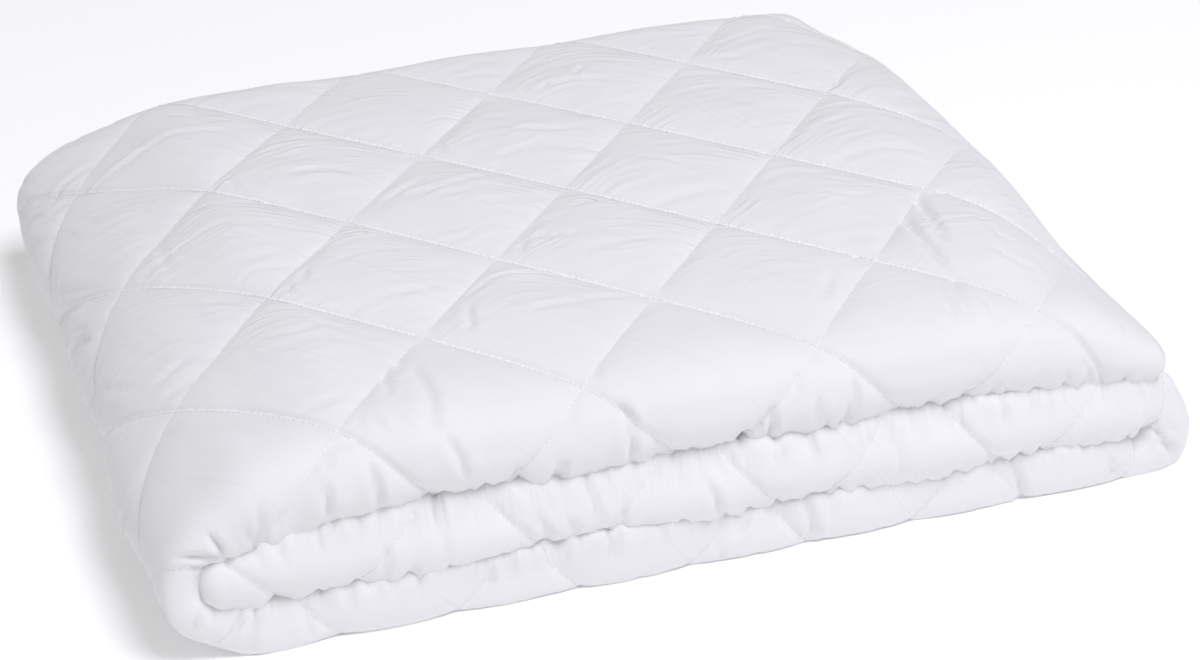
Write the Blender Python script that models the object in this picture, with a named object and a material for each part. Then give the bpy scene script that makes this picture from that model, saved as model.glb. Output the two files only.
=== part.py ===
"""Quilted mattress pad, folded in half along its length and then in three.

The pad is one closed solid. Flat, it is a rectangle of quilted diamonds, and a
point of it has two coordinates counted in half diamonds: u along its length and
v across its width. Two folds carry the rectangle to its place:

1. The hairpin. The width is doubled over a round fold that faces the front, so
   the pad becomes a strip of two plies, one on the other.
2. The winding. That strip runs from its inner end to the right as the middle
   layer, turns down into the bottom layer, runs to the left, turns up round the
   inner end and runs to the right again as the top layer.

The quilting is raised where it shows: on the top, round the left turn, round
the right turn and on the front folds. Faces pressed on each other are flat.
The unit is the metre, +X is the strip's length, -Y the front and +Z up. The
origin is the middle of the solid's footprint, on the surface it lies on.
"""
import math

import bpy
import numpy as np

# ---- Quilting ---------------------------------------------------------------
HALF_X = 0.0740          # half a diamond along the pad's length
HALF_Y = 0.0815          # half a diamond across the pad's width
PUFF = 0.0060            # height of a diamond's middle over its seams
TAUT_SHARE = 0.6         # share of that height where the cloth is taut round a fold
SEAM_SHARPNESS = 0.62    # below 1 the seams are narrow and the middles broad
U_INNER_END, U_TOP_END = -21.75, 5.25    # the pad's two ends
V_TOP_EDGE, V_UNDER_EDGE = 2.0, 14.75    # its two long edges

# ---- Layers of the folded strip ---------------------------------------------
GAP = 0.002              # air between plies and between layers
TOP_HEIGHT = 0.0590      # two plies of the top layer
MIDDLE_HEIGHT = 0.0420   # two plies of the middle layer
BOTTOM_HEIGHT = 0.0300   # two plies of the bottom layer
LEFT_TURN_HEIGHT = 0.0240    # two plies, pressed, at the left turn's far side
RIGHT_TURN_HEIGHT = 0.0390   # two plies at the right turn's far side

LEFT_X, RIGHT_X = -0.2664, 0.2886        # where the two turns start
LEFT_REACH = 0.0455      # how far the left turn's inside reaches past LEFT_X in front
LEFT_SLANT = 0.0100      # how much less it reaches at the back
LEFT_TURN_U, RIGHT_TURN_U = 2.415, 1.42  # half diamonds on the outside of a turn
U_TOP_START = -2.6       # u where the left turn ends and the top layer starts

# ---- The front hairpin: u, middle of the fold in v, y of its foremost point --
HAIRPIN = (
    # u,     v,     front y
    (-21.75, 8.55, -0.2440),
    (-13.9, 8.57, -0.2450),
    (-12.6, 8.62, -0.2400),
    (-5.0, 8.64, -0.2400),
    (-2.6, 8.44, -0.2425),
    (5.0, 8.42, -0.2425),
)

# ---- Height of the doubled strip along u at its two free ends ----------------
INNER_END_LENGTH = 0.80  # half diamonds over which the inner end thins
TOP_END_LENGTH = 0.80    # the same for the top layer's end, at its back corner
TOP_END_MORE = 0.60      # how much longer that is at its front corner, which sags
TOP_END_DRAW = 0.15      # half diamonds by which rounding draws the top layer's end in
SAG_DEPTH = 3.4          # how far back the sag reaches, in half diamonds
CORNER_DRAW = 0.40       # how much more the top layer's back corner is drawn in
CORNER_START, CORNER_END = 5.2, 6.4      # where that starts and ends behind the front
SHOULDER_U = -1.8        # u where the top layer starts to come down to the left turn
TOP_END_HEIGHT = 0.0250
INNER_END_HEIGHT = 0.0190
INNER_END_LIFT = 0.0080  # how far the inner end stands off the layer below it
HEM_LENGTH = 0.36        # half diamonds over which a long edge thins
HEM_SHARE = 0.62         # what is left of a ply's thickness at a long edge

# ---- Faces -------------------------------------------------------------------
CELL = 1 / 4             # side of a cell of the grid, in half diamonds
FINE_FRONT = (7.75, 9.25)    # between these v the front fold's cells are halved


def smooth(t):
    """Smoothstep of t, held to 0..1."""
    t = np.clip(t, 0.0, 1.0)
    return t * t * (3 - 2 * t)


def rounded(t):
    """Quarter of a round shoulder: 0 at t = 0, upright there, and 1 from t = 1."""
    t = np.clip(t, 0.0, 1.0)
    return np.sqrt(1 - (1 - t) ** 2)


def turn_bounds():
    """u where the right turn starts and ends, then the left turn."""
    left_end = U_TOP_START
    left_start = left_end - LEFT_TURN_U
    right_end = left_start - (RIGHT_X - LEFT_X) / HALF_X
    return right_end - RIGHT_TURN_U, right_end, left_start, left_end


def inner_fullness(u):
    """0 at the pad's inner end and 1 where the middle layer has its full height."""
    return rounded((u - U_INNER_END) / INNER_END_LENGTH)


def strip_height(u, behind):
    """Height of the two plies together; behind is the distance in v from the front fold."""
    right_start, right_end, left_start, left_end = turn_bounds()
    knots = (
        (right_start, MIDDLE_HEIGHT),
        ((right_start + right_end) / 2, RIGHT_TURN_HEIGHT),
        (right_end, BOTTOM_HEIGHT),
        (left_start, BOTTOM_HEIGHT),
        ((left_start + left_end) / 2, LEFT_TURN_HEIGHT),
        (SHOULDER_U, TOP_HEIGHT),
    )
    height = np.full_like(u, MIDDLE_HEIGHT)
    for (u0, h0), (u1, h1) in zip(knots, knots[1:]):
        height = np.where(u >= u0, h0 + (h1 - h0) * smooth((u - u0) / (u1 - u0)), height)
    sag = smooth(1 - behind / SAG_DEPTH)
    top_share = rounded((U_TOP_END - u) / (TOP_END_LENGTH + TOP_END_MORE * sag)) ** (1 + sag)
    top = TOP_END_HEIGHT + (height - TOP_END_HEIGHT) * top_share
    inner = INNER_END_HEIGHT + (height - INNER_END_HEIGHT) * inner_fullness(u)
    return np.where(u > SHOULDER_U, top, np.where(u < right_start, inner, height))


def winding(u, behind):
    """Inside face of the doubled strip in the XZ plane: x, z and the normal there.

    The normal points to the strip's other face: up on the middle and top layers,
    down on the bottom layer, outwards on the turns, which are half an ellipse.
    behind is the distance in v from the front fold.
    """
    right_start, right_end, left_start, left_end = turn_bounds()
    bottom_z = BOTTOM_HEIGHT
    middle_z = BOTTOM_HEIGHT + GAP
    top_z = middle_z + MIDDLE_HEIGHT + GAP
    corner = CORNER_DRAW * smooth((behind - CORNER_START) / (CORNER_END - CORNER_START))
    drawn_in = (TOP_END_DRAW + corner) * smooth(u - U_TOP_END + 1)
    x = HALF_X * (u - left_end - drawn_in) + LEFT_X
    z = np.full_like(u, top_z)
    normal_x, normal_z = np.zeros_like(u), np.ones_like(u)

    turn = math.pi * np.clip((u - left_start) / LEFT_TURN_U, 0.0, 1.0) - math.pi / 2
    radius_z = (top_z - bottom_z) / 2
    reach = LEFT_REACH - LEFT_SLANT * smooth(behind / 4)
    length = np.hypot(np.cos(turn) / reach, np.sin(turn) / radius_z)
    on_left = u < left_end
    x = np.where(on_left, LEFT_X - reach * np.cos(turn), x)
    z = np.where(on_left, bottom_z + radius_z * (1 + np.sin(turn)), z)
    normal_x = np.where(on_left, -np.cos(turn) / reach / length, normal_x)
    normal_z = np.where(on_left, np.sin(turn) / radius_z / length, normal_z)

    on_bottom = u < left_start
    x = np.where(on_bottom, LEFT_X + HALF_X * (left_start - u), x)
    z = np.where(on_bottom, bottom_z, z)
    normal_x = np.where(on_bottom, 0.0, normal_x)
    normal_z = np.where(on_bottom, -1.0, normal_z)

    turn = math.pi / 2 - math.pi * np.clip((u - right_start) / RIGHT_TURN_U, 0.0, 1.0)
    on_right = u < right_end
    x = np.where(on_right, RIGHT_X + GAP / 2 * np.cos(turn), x)
    z = np.where(on_right, bottom_z + GAP / 2 * (1 + np.sin(turn)), z)
    normal_x = np.where(on_right, np.cos(turn), normal_x)
    normal_z = np.where(on_right, np.sin(turn), normal_z)

    on_middle = u < right_start
    x = np.where(on_middle, RIGHT_X - HALF_X * (right_start - u), x)
    z = np.where(on_middle, middle_z + INNER_END_LIFT * (1 - inner_fullness(u)), z)
    normal_x = np.where(on_middle, 0.0, normal_x)
    normal_z = np.where(on_middle, 1.0, normal_z)
    return x, z, normal_x, normal_z


def hairpin_place(u):
    """v of the middle of the front fold and y of its foremost point, at each u."""
    knots = np.array(HAIRPIN)
    return np.interp(u, knots[:, 0], knots[:, 1]), np.interp(u, knots[:, 0], knots[:, 2])


def diamonds(u, v):
    """Height of the quilting over its seams, 0 on a seam and 1 in a diamond's middle."""
    across = np.abs(np.sin(math.pi * (u + v) / 2) * np.sin(math.pi * (u - v) / 2))
    return across ** SEAM_SHARPNESS


def shown(u, v, fold_v, angle):
    """Share of the quilting that is raised: 1 on top, less on folds, 0 where pressed."""
    right_start, right_end, left_start, left_end = turn_bounds()
    on_upper_ply = smooth(0.5 + (fold_v - v) / 0.5)
    front = TAUT_SHARE * smooth((np.cos(angle) - 0.25) / 0.5)
    left = TAUT_SHARE * smooth((u - left_start - 0.9) / 0.8)
    left_and_top = left + (1 - left) * smooth((u - left_end) / 0.8)
    right = smooth((u - right_start + 0.1) / 0.4) * smooth((right_end - 0.6 - u) / 0.5)
    return np.maximum(np.maximum(left_and_top, TAUT_SHARE * right) * on_upper_ply, front)


def pad_surface(u, v, outer):
    """World points of one face of the pad, its outer or its inner one.

    Across the strip the outer face runs flat over the upper ply, round a half
    circle of the strip's own height at the front, and flat back under the lower
    ply. The inner face runs beside it with an upright end at the front. Near a
    long edge the upper face of each ply comes down to a hem.
    """
    fold_v, front_y = hairpin_place(u)
    behind = np.abs(v - fold_v)
    x, z, normal_x, normal_z = winding(u, behind)
    height = strip_height(u, behind)
    quarter = math.pi * height / 4
    along = (v - fold_v) * HALF_Y
    angle = np.clip(along / (height / 2), -math.pi / 2, math.pi / 2)
    flat = np.maximum(np.abs(along) - quarter, 0.0)

    edge = np.minimum(v - V_TOP_EDGE, V_UNDER_EDGE - v)
    thinned = (1 - HEM_SHARE) * (1 - rounded(edge / HEM_LENGTH))
    up = (1 + normal_z) / 2
    up = 0.5 - (up - 0.5) * np.sin(angle)
    ply = (height - GAP) / 2
    centre_y = front_y + height / 2
    if outer:
        reach = GAP / 2 + ply * (1 - thinned * up)
        reach = reach + PUFF * diamonds(u, v) * shown(u, v, fold_v, angle) * rounded(edge / HEM_LENGTH)
        section_y = centre_y + flat - reach * np.cos(angle)
        section_z = -reach * np.sin(angle)
    else:
        reach = GAP / 2 + ply * thinned * (1 - up)
        section_y = centre_y + flat - (reach - GAP / 2) * np.cos(angle)
        section_z = -reach * angle / (math.pi / 2)
    lift = height / 2 + section_z
    return np.stack((x + normal_x * lift, section_y, z + normal_z * lift), axis=-1)


def refined(u, v):
    """Cells that are cut in four: the front fold, and the right turn's upper ply."""
    right_start, right_end, _, _ = turn_bounds()
    front = (v > FINE_FRONT[0]) & (v < FINE_FRONT[1])
    right_turn = (u > right_start - CELL) & (u < right_end + CELL) & (v < FINE_FRONT[1])
    return front | right_turn


def cell_triangles(corners, middles, diagonal):
    """Triangles of one cell whose edges may have a middle point.

    The corners run round the cell, middles[k] is the point between corner k and
    the next one or None, and the seam runs from corner 0 to 2 or from 1 to 3.
    The triangles fan out from a corner whose two edges have no middle point, an
    end of the seam where there is one.
    """
    ring = []
    for corner, middle in zip(corners, middles):
        ring += [corner] if middle is None else [corner, middle]
    seam_first = (diagonal, diagonal + 2, 1 - diagonal, 3 - diagonal)
    plain = [k for k in seam_first if middles[k] is None and middles[k - 1] is None]
    turn = ring.index(corners[plain[0]])
    ring = ring[turn:] + ring[:turn]
    return [(ring[0], ring[k], ring[k + 1]) for k in range(1, len(ring) - 1)]


def quilted_cells():
    """u and v of the points of one face, and its triangles, seams along their edges.

    The cells are a quarter of a half diamond wide, and half of that where they are
    refined. A wide cell beside a refined one takes the middle point of their edge.
    """
    rows = round((U_TOP_END - U_INNER_END) / CELL)
    columns = round((V_UNDER_EDGE - V_TOP_EDGE) / CELL)
    middle_u = U_INNER_END + CELL * (np.arange(rows)[:, None] + 0.5)
    middle_v = V_TOP_EDGE + CELL * (np.arange(columns)[None, :] + 0.5)
    fine = np.zeros((rows + 2, columns + 2), dtype=bool)
    fine[1:-1, 1:-1] = refined(middle_u, middle_v)
    numbers = {}
    triangles = []

    def number(i, j):
        """Number of the point at half cells i and j."""
        return numbers.setdefault((i, j), len(numbers))

    def add_cell(i, j, size, middles):
        """Add the triangles of the cell whose lowest corner is at half cells i and j."""
        corners = [(i, j), (i + size, j), (i + size, j + size), (i, j + size)]
        u = U_INNER_END + CELL / 2 * (i + size / 2)
        v = V_TOP_EDGE + CELL / 2 * (j + size / 2)
        rising = abs(math.sin(math.pi * (u - v) / 2)) < abs(math.sin(math.pi * (u + v) / 2))
        cell = cell_triangles(corners, middles, 0 if rising else 1)
        triangles.extend([number(*point) for point in triangle] for triangle in cell)

    for row in range(rows):
        for column in range(columns):
            i, j = 2 * row, 2 * column
            if fine[row + 1, column + 1]:
                for di, dj in ((0, 0), (0, 1), (1, 0), (1, 1)):
                    add_cell(i + di, j + dj, 1, [None] * 4)
                continue
            beside = (
                (fine[row + 1, column], (i + 1, j)),
                (fine[row + 2, column + 1], (i + 2, j + 1)),
                (fine[row + 1, column + 2], (i + 1, j + 2)),
                (fine[row, column + 1], (i, j + 1)),
            )
            add_cell(i, j, 2, [point if is_fine else None for is_fine, point in beside])
    points = np.array(list(numbers), dtype=float) * CELL / 2
    return points[:, 0] + U_INNER_END, points[:, 1] + V_TOP_EDGE, np.array(triangles)


def border_triangles(triangles, offset):
    """The narrow faces that close the pad all round, between outer and inner face."""
    edges = np.concatenate((triangles[:, [0, 1]], triangles[:, [1, 2]], triangles[:, [2, 0]]))
    present = {tuple(edge) for edge in edges.tolist()}
    border = np.array([edge for edge in sorted(present) if edge[::-1] not in present])
    start, end = border[:, 0], border[:, 1]
    first = np.stack((end, start, start + offset), -1)
    second = np.stack((end, start + offset, end + offset), -1)
    return np.concatenate((first, second))


def stood_on_floor(points):
    """The points, moved so that their footprint's middle and lowest face are at 0."""
    low, high = points.min(axis=0), points.max(axis=0)
    shift = np.array(((low[0] + high[0]) / 2, (low[1] + high[1]) / 2, low[2]))
    return points - shift


def pad_mesh():
    """Vertices and triangles of the closed pad."""
    u, v, faces = quilted_cells()
    outer = pad_surface(u, v, True)
    inner = pad_surface(u, v, False)
    faces = faces[:, ::-1]
    offset = len(outer)
    around = border_triangles(faces, offset)
    triangles = np.concatenate((faces, faces[:, ::-1] + offset, around))
    return stood_on_floor(np.concatenate((outer, inner))), triangles


def cotton_material():
    """White cotton percale."""
    material = bpy.data.materials.new("white_cotton")
    material.use_nodes = True
    shader = material.node_tree.nodes["Principled BSDF"]
    shader.inputs["Base Color"].default_value = (0.86, 0.86, 0.87, 1.0)
    shader.inputs["Roughness"].default_value = 0.85
    shader.inputs["Metallic"].default_value = 0.0
    return material


def make_pad():
    """The pad as one object."""
    points, triangles = pad_mesh()
    mesh = bpy.data.meshes.new("quilted_pad")
    mesh.from_pydata(points.tolist(), [], triangles.tolist())
    mesh.materials.append(cotton_material())
    mesh.shade_smooth()
    pad = bpy.data.objects.new("quilted_pad", mesh)
    bpy.context.scene.collection.objects.link(pad)
    return pad


for old in list(bpy.data.objects):
    bpy.data.objects.remove(old, do_unlink=True)
make_pad()
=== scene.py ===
"""A quilted cotton mattress pad, folded in half and then in three, on a plain pale floor.

The pad is one padded piece. Flat, it is a rectangle of quilted diamonds, and a point of it has
two coordinates counted in half diamonds: u along its length and v across its width. Two folds
carry the rectangle to its place. The hairpin doubles the width over a round fold at the front.
The winding lays the doubled strip to the right as the middle layer, down and to the left as the
bottom layer, and up and to the right again as the top layer. Everything that makes the surface,
from the diamonds' domes to the creases, is a height over that folded form.
"""

import logging
import math
from dataclasses import dataclass
from enum import Enum

import bpy
import numpy as np
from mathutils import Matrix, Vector


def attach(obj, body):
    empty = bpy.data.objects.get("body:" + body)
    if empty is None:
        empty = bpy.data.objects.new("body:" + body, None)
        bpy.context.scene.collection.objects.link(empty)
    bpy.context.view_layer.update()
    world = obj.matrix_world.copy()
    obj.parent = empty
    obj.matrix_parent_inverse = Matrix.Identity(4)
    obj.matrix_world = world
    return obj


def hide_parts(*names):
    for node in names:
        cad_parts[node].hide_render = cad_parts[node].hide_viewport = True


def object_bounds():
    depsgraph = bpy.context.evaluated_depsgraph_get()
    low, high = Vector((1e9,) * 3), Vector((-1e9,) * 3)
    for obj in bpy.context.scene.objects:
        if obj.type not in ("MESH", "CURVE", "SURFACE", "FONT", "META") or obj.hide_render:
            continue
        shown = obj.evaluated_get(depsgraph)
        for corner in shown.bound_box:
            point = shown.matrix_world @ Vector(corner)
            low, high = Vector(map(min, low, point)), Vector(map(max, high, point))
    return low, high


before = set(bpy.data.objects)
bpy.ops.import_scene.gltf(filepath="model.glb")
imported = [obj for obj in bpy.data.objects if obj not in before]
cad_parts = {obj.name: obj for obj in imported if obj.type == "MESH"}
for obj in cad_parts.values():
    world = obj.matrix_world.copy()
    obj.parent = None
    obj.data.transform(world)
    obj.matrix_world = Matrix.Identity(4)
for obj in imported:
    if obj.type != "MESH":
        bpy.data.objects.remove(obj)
cad_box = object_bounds()

Array = np.ndarray
Pair = tuple[float, float]
Triple = tuple[float, float, float]
log = logging.getLogger("quilted_pad")
MM = 0.001
QUARTER_TURN = math.pi / 2
CREASE_SHOULDER_HEIGHT = 0.45
CREASE_SHOULDER_WIDTH = 2.4


# ---- Curves and noise --------------------------------------------------------
def smooth(t: Array) -> Array:
    """Smoothstep of t, held to 0..1: 3 t^2 - 2 t^3."""
    t = np.clip(t, 0.0, 1.0)
    return t * t * (3 - 2 * t)


def rounded(t: Array) -> Array:
    """Quarter of a round shoulder: 0 at t = 0, upright there, and 1 from t = 1."""
    t = np.clip(t, 0.0, 1.0)
    return np.sqrt(1 - (1 - t) ** 2)


def bell(t: Array) -> Array:
    """Bell curve exp(-t^2)."""
    return np.exp(-t * t)


def creased(t: Array) -> Array:
    """Profile across a crease: a narrow trough at t = 0 between two soft shoulders."""
    return CREASE_SHOULDER_HEIGHT * bell(t / CREASE_SHOULDER_WIDTH) - bell(t)


def unit(vectors: Array) -> Array:
    """Rows of vectors, each over its own length."""
    return vectors / np.linalg.norm(vectors, axis=1, keepdims=True)


@dataclass(frozen=True)
class Ease:
    """A smoothstep from 0 to 1: where it starts, and its length."""

    start: float
    length: float

    def at(self, x: Array) -> Array:
        """The share reached at x."""
        return smooth((x - self.start) / self.length)


@dataclass(frozen=True)
class Fades:
    """The lengths over which a share rises past its start and falls before its end."""

    rise: Array | float
    fall: Array | float

    def within(self, x: Array, start: Array | float = 0.0, end: Array | float = 1.0) -> Array:
        """1 between start and end, 0 outside, and smoothsteps over the rise and the fall."""
        return smooth((x - start) / self.rise) * smooth((end - x) / self.fall)


@dataclass(frozen=True)
class Range:
    """Values that a draw can give. A power over 1 makes the high ones rarer."""

    lowest: float = 0.0
    more: float = 1.0
    power: float = 1.0

    def at(self, draw: Array) -> Array:
        """The value for a draw from 0 to 1: the lowest, plus the rest times the draw's power."""
        return self.lowest + self.more * draw ** self.power


@dataclass(frozen=True)
class Noise:
    """Seeded gradient noise on a plane, from about -height to height."""

    seed: int
    length: float           # of a cell, along x
    width: float            # of a cell, along y
    height: float = 1.0
    size: int = 96          # cells after which it repeats
    gain: float = 1.6

    def at(self, x: Array, y: Array) -> Array:
        """Noise at each point.

        Each corner of a cell has a slope in its own direction. The four slopes, read at the
        point, are blended with smoothstep weights.

        Args:
            x, y: the points.

        Returns:
            The noise.
        """
        x, y = x / self.length, y / self.width
        turns = np.random.default_rng(self.seed).random((self.size, self.size)) * 2 * math.pi
        i, j = np.floor(x).astype(int), np.floor(y).astype(int)
        in_x, in_y = x - i, y - j
        total = np.zeros_like(x)
        for di in (0, 1):
            for dj in (0, 1):
                turn = turns[(i + di) % self.size, (j + dj) % self.size]
                slope = np.cos(turn) * (in_x - di) + np.sin(turn) * (in_y - dj)
                weight = smooth(1 - np.abs(in_x - di)) * smooth(1 - np.abs(in_y - dj))
                total += slope * weight
        return self.height * (self.gain * total)


@dataclass(frozen=True)
class Draws:
    """Seeded draws from 0 to 1 for numbered cells."""

    seed: int
    size: int = 96

    def of(self, i: Array, j: Array, which: int) -> Array:
        """The draw with number which of each cell i, j."""
        table = np.random.default_rng((self.seed, which)).random((self.size, self.size))
        return table[i.astype(int) % self.size, j.astype(int) % self.size]

    def values(self, ranges: tuple[Range, ...], i: Array, j: Array, stroke: int) -> list[Array]:
        """One value of each range for each cell i, j, from the draws of a numbered stroke."""
        first = len(ranges) * stroke
        return [one.at(self.of(i, j, first + number)) for number, one in enumerate(ranges)]


# ---- The folded pad ----------------------------------------------------------
@dataclass(frozen=True)
class Quilting:
    """The diamonds: seams run where u + v = 2 i, the steep ones, and where v - u = 2 j."""

    half_x: float = 0.0740
    half_y: float = 0.0815
    u_ends: Pair = (-21.75, 5.25)
    v_edges: Pair = (2.0, 14.75)
    left_margin: float = 20 * MM
    back_margin: float = 6 * MM

    @property
    def spacing(self) -> float:
        """Half the distance between two parallel seams, in metres."""
        return self.half_x * self.half_y / math.hypot(self.half_x, self.half_y)

    def diamond(self, u: Array, v: Array) -> tuple[Array, Array, Array, Array]:
        """Numbers of each point's diamond and the point's place in it.

        Args:
            u, v: the points, in half diamonds.

        Returns:
            Numbers i and j of the seams left of and behind the point, and the shares of the way
            from those seams to the next ones, 0..1.
        """
        steep, shallow = (u + v) / 2, (v - u) / 2
        i, j = np.floor(steep), np.floor(shallow)
        return i, j, steep - i, shallow - j

    def crown(self, u: Array, v: Array) -> Array:
        """Product of the sines across the two pairs of seams: 0 on a seam, 1 in the middle."""
        _, _, steep, shallow = self.diamond(u, v)
        return np.abs(np.sin(math.pi * steep) * np.sin(math.pi * shallow))

    def seam_distances(self, u: Array, v: Array) -> tuple[Array, Array]:
        """Distances to the nearest steep and the nearest shallow seam, in metres.

        Args:
            u, v: the points, in half diamonds.

        Returns:
            The two distances.
        """
        _, _, steep, shallow = self.diamond(u, v)
        scale = 2 * self.spacing
        return scale * np.minimum(steep, 1 - steep), scale * np.minimum(shallow, 1 - shallow)

    def swept(self, steep: Array, shallow: Array, sweep: Array) -> tuple[Array, Array]:
        """Level and slope of the curves that sweep round a diamond's back corner.

        With a and b the distances from the seams left of and behind the point, each with its
        margin, the level is ln b + sweep ln a: the curves b a^sweep = constant leave the left
        seam, turn over and run beside the back one.

        Args:
            steep, shallow: the shares of the way across the diamond, 0..1.
            sweep: how much more the left seam counts than the back one.

        Returns:
            The level, and how fast it changes, per metre.
        """
        scale = 2 * self.spacing
        left = np.maximum(steep, 0.0) * scale + self.left_margin
        back = np.maximum(shallow, 0.0) * scale + self.back_margin
        return np.log(back) + sweep * np.log(left), np.hypot(1 / back, sweep / left)

    def side_distance(self, v: Array) -> Array:
        """Distance to the nearer long edge, in half diamonds."""
        return np.minimum(v - self.v_edges[0], self.v_edges[1] - v)

    def edge_distance(self, u: Array, v: Array) -> Array:
        """Distance to the pad's nearest edge, in metres."""
        along = np.minimum(u - self.u_ends[0], self.u_ends[1] - u) * self.half_x
        return np.minimum(along, self.side_distance(v) * self.half_y)


@dataclass
class Spot:
    """Points of the pad and how each lies in the folded stack."""

    u: Array
    v: Array
    fold_v: Array       # v of the middle of the front fold
    front_y: Array      # y of the foremost point of the fold
    behind: Array       # distance from the front fold, in half diamonds
    height: Array       # height of the two plies together
    angle: Array        # turn round the front fold, -pi/2 on the upper ply to pi/2
    along: Array        # signed distance from the front fold's middle, in metres
    shown: Array        # 1 on top, less on folds, 0 where the faces are pressed

    @property
    def lower(self) -> Array:
        """True on the ply with v past the front fold."""
        return self.v > self.fold_v

    @property
    def turned(self) -> Array:
        """Distance from the front fold's middle, over half the height."""
        return np.abs(self.along) / (self.height / 2)


@dataclass(frozen=True)
class FoldedStrip:
    """Sizes of the folded stack and the map from the flat pad to it.

    Heights, reaches and places with x or y are in metres. What lies along u or v, and every
    distance behind the front fold, is in half diamonds.
    """

    quilting: Quilting = Quilting()
    gap: float = 0.002
    left_x: float = -0.2664
    right_x: float = 0.2886
    footprint_middle: Pair = (-0.0033, 0.0226)
    hairpin: tuple[Triple, ...] = (
        # u,     v,     front y
        (-21.75, 8.55, -0.2440),
        (-13.9, 8.57, -0.2450),
        (-12.6, 8.62, -0.2400),
        (-5.0, 8.64, -0.2400),
        (-2.6, 8.44, -0.2425),
        (5.0, 8.42, -0.2425),
    )
    # the layers
    top_height: float = 0.0590
    middle_height: float = 0.0420
    bottom_height: float = 0.0300
    middle_end_height: float = 0.0360
    end_slope_length: float = 0.9
    # the right turn
    right_turn_u: float = 1.42
    right_turn_height: float = 0.0385
    right_turn_foot: float = 0.0490
    right_turn_shares: Pair = (0.30, 0.66)
    pocket_setback: float = 0.008
    pocket_depth: float = 2.6
    # the left turn and the top layer's shoulder
    left_turn_u: float = 2.415
    left_turn_height: float = 0.0240
    left_reach: float = 0.0437
    left_slant: float = 0.0100
    left_slant_depth: float = 4.0
    top_start_u: float = -2.6
    shoulder_u: float = -1.8
    shoulder_start: float = 0.40
    shoulder_ease: float = 1.2
    # the inner end, on the middle layer
    inner_end_length: float = 0.17
    inner_end_height: float = 0.0370
    inner_end_lift: float = 0.0020
    inner_end_reach: float = 0.0140
    inner_end_span: float = 1.5
    # the upper end, on the top layer
    top_end_length: float = 0.80
    top_end_more: float = 1.10
    top_end_depth: float = 3.4
    top_end_height: float = 0.0250
    top_end_draw: float = 0.15
    top_end_less_draw: float = 0.11
    less_draw_behind: Ease = Ease(1.2, 2.0)
    draw_length: float = 1.0
    corner_draw: float = 0.40
    corner_behind: Ease = Ease(5.2, 1.2)
    # the sag of the top towards the back
    back_sag: float = 0.0045
    back_sag_span: Pair = (-3.8, 3.4)
    back_sag_fades: Fades = Fades(1.6, 4.4)
    shoulder_sag: float = 0.0100
    shoulder_sag_u: float = -2.8
    shoulder_sag_width: float = 0.65
    sag_behind: Ease = Ease(2.6, 3.6)
    # the long edges
    hem_length: float = 0.36
    hem_share: float = 0.62
    # how much the surface stands out
    taut_share: float = 0.85
    front_share: float = 0.75
    front_ease: Ease = Ease(0.10, 0.5)
    upper_ply_ease: float = 0.5
    left_taut_ease: Ease = Ease(0.25, 0.7)
    top_ease: float = 0.8
    right_taut_margins: Pair = (-0.10, 0.15)
    right_taut_fades: Fades = Fades(0.4, 0.5)
    corner_calm: float = 0.65
    corner_depth: float = 1.1
    corner_depth_ease: float = 0.7
    corner_margin: float = 0.1
    corner_fades: Fades = Fades(0.4, 0.4)

    def turns(self) -> tuple[float, float, float, float]:
        """u where the right turn starts and ends, then the left turn.

        Returns:
            The four values of u.
        """
        left_end = self.top_start_u
        left_start = left_end - self.left_turn_u
        right_end = left_start - (self.right_x - self.left_x) / self.quilting.half_x
        return right_end - self.right_turn_u, right_end, left_start, left_end

    def inner_fullness(self, u: Array) -> Array:
        """0 at the inner end and 1 where the middle layer has its full height."""
        return rounded((u - self.quilting.u_ends[0]) / self.inner_end_length)

    def sag(self, u: Array, behind: Array) -> Array:
        """How much lower the top lies towards the back: a broad part and a bell at the shoulder.

        Args:
            u, behind: place along the strip, and distance behind the front fold.

        Returns:
            The sag in metres.
        """
        broad = self.back_sag * self.back_sag_fades.within(u, *self.back_sag_span)
        narrow = self.shoulder_sag * bell((u - self.shoulder_sag_u) / self.shoulder_sag_width)
        return (broad + narrow) * self.sag_behind.at(behind)

    def strip_height(self, u: Array, behind: Array) -> Array:
        """Height of the two plies together, eased between its values along u.

        It thins to a round end at the strip's two free ends, over a longer way at the front of
        the upper one, and the sag of the top is taken off it.

        Args:
            u, behind: place along the strip, and distance behind the front fold.

        Returns:
            The height in metres.
        """
        right_start, right_end, left_start, left_end = self.turns()
        high, low = self.right_turn_shares
        knots = (
            (right_start - self.end_slope_length, self.middle_height),
            (right_start, self.middle_end_height),
            (right_start + high * self.right_turn_u, self.right_turn_height),
            (right_start + low * self.right_turn_u, self.right_turn_foot),
            (right_end, self.bottom_height),
            (left_start, self.bottom_height),
            ((left_start + left_end) / 2, self.left_turn_height),
            (self.shoulder_u, self.top_height),
        )
        height = np.full_like(u, self.middle_height)
        for (u0, h0), (u1, h1) in zip(knots, knots[1:]):
            height = np.where(u >= u0, h0 + (h1 - h0) * smooth((u - u0) / (u1 - u0)), height)
        slack = smooth(1 - behind / self.top_end_depth)
        end = (self.quilting.u_ends[1] - u) / (self.top_end_length + self.top_end_more * slack)
        top = self.top_end_height + (height - self.top_end_height) * rounded(end) ** (1 + slack)
        inner = self.inner_end_height + (height - self.inner_end_height) * self.inner_fullness(u)
        height = np.where(u > self.shoulder_u, top, np.where(u < right_start, inner, height))
        return height - self.sag(u, behind)

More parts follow.
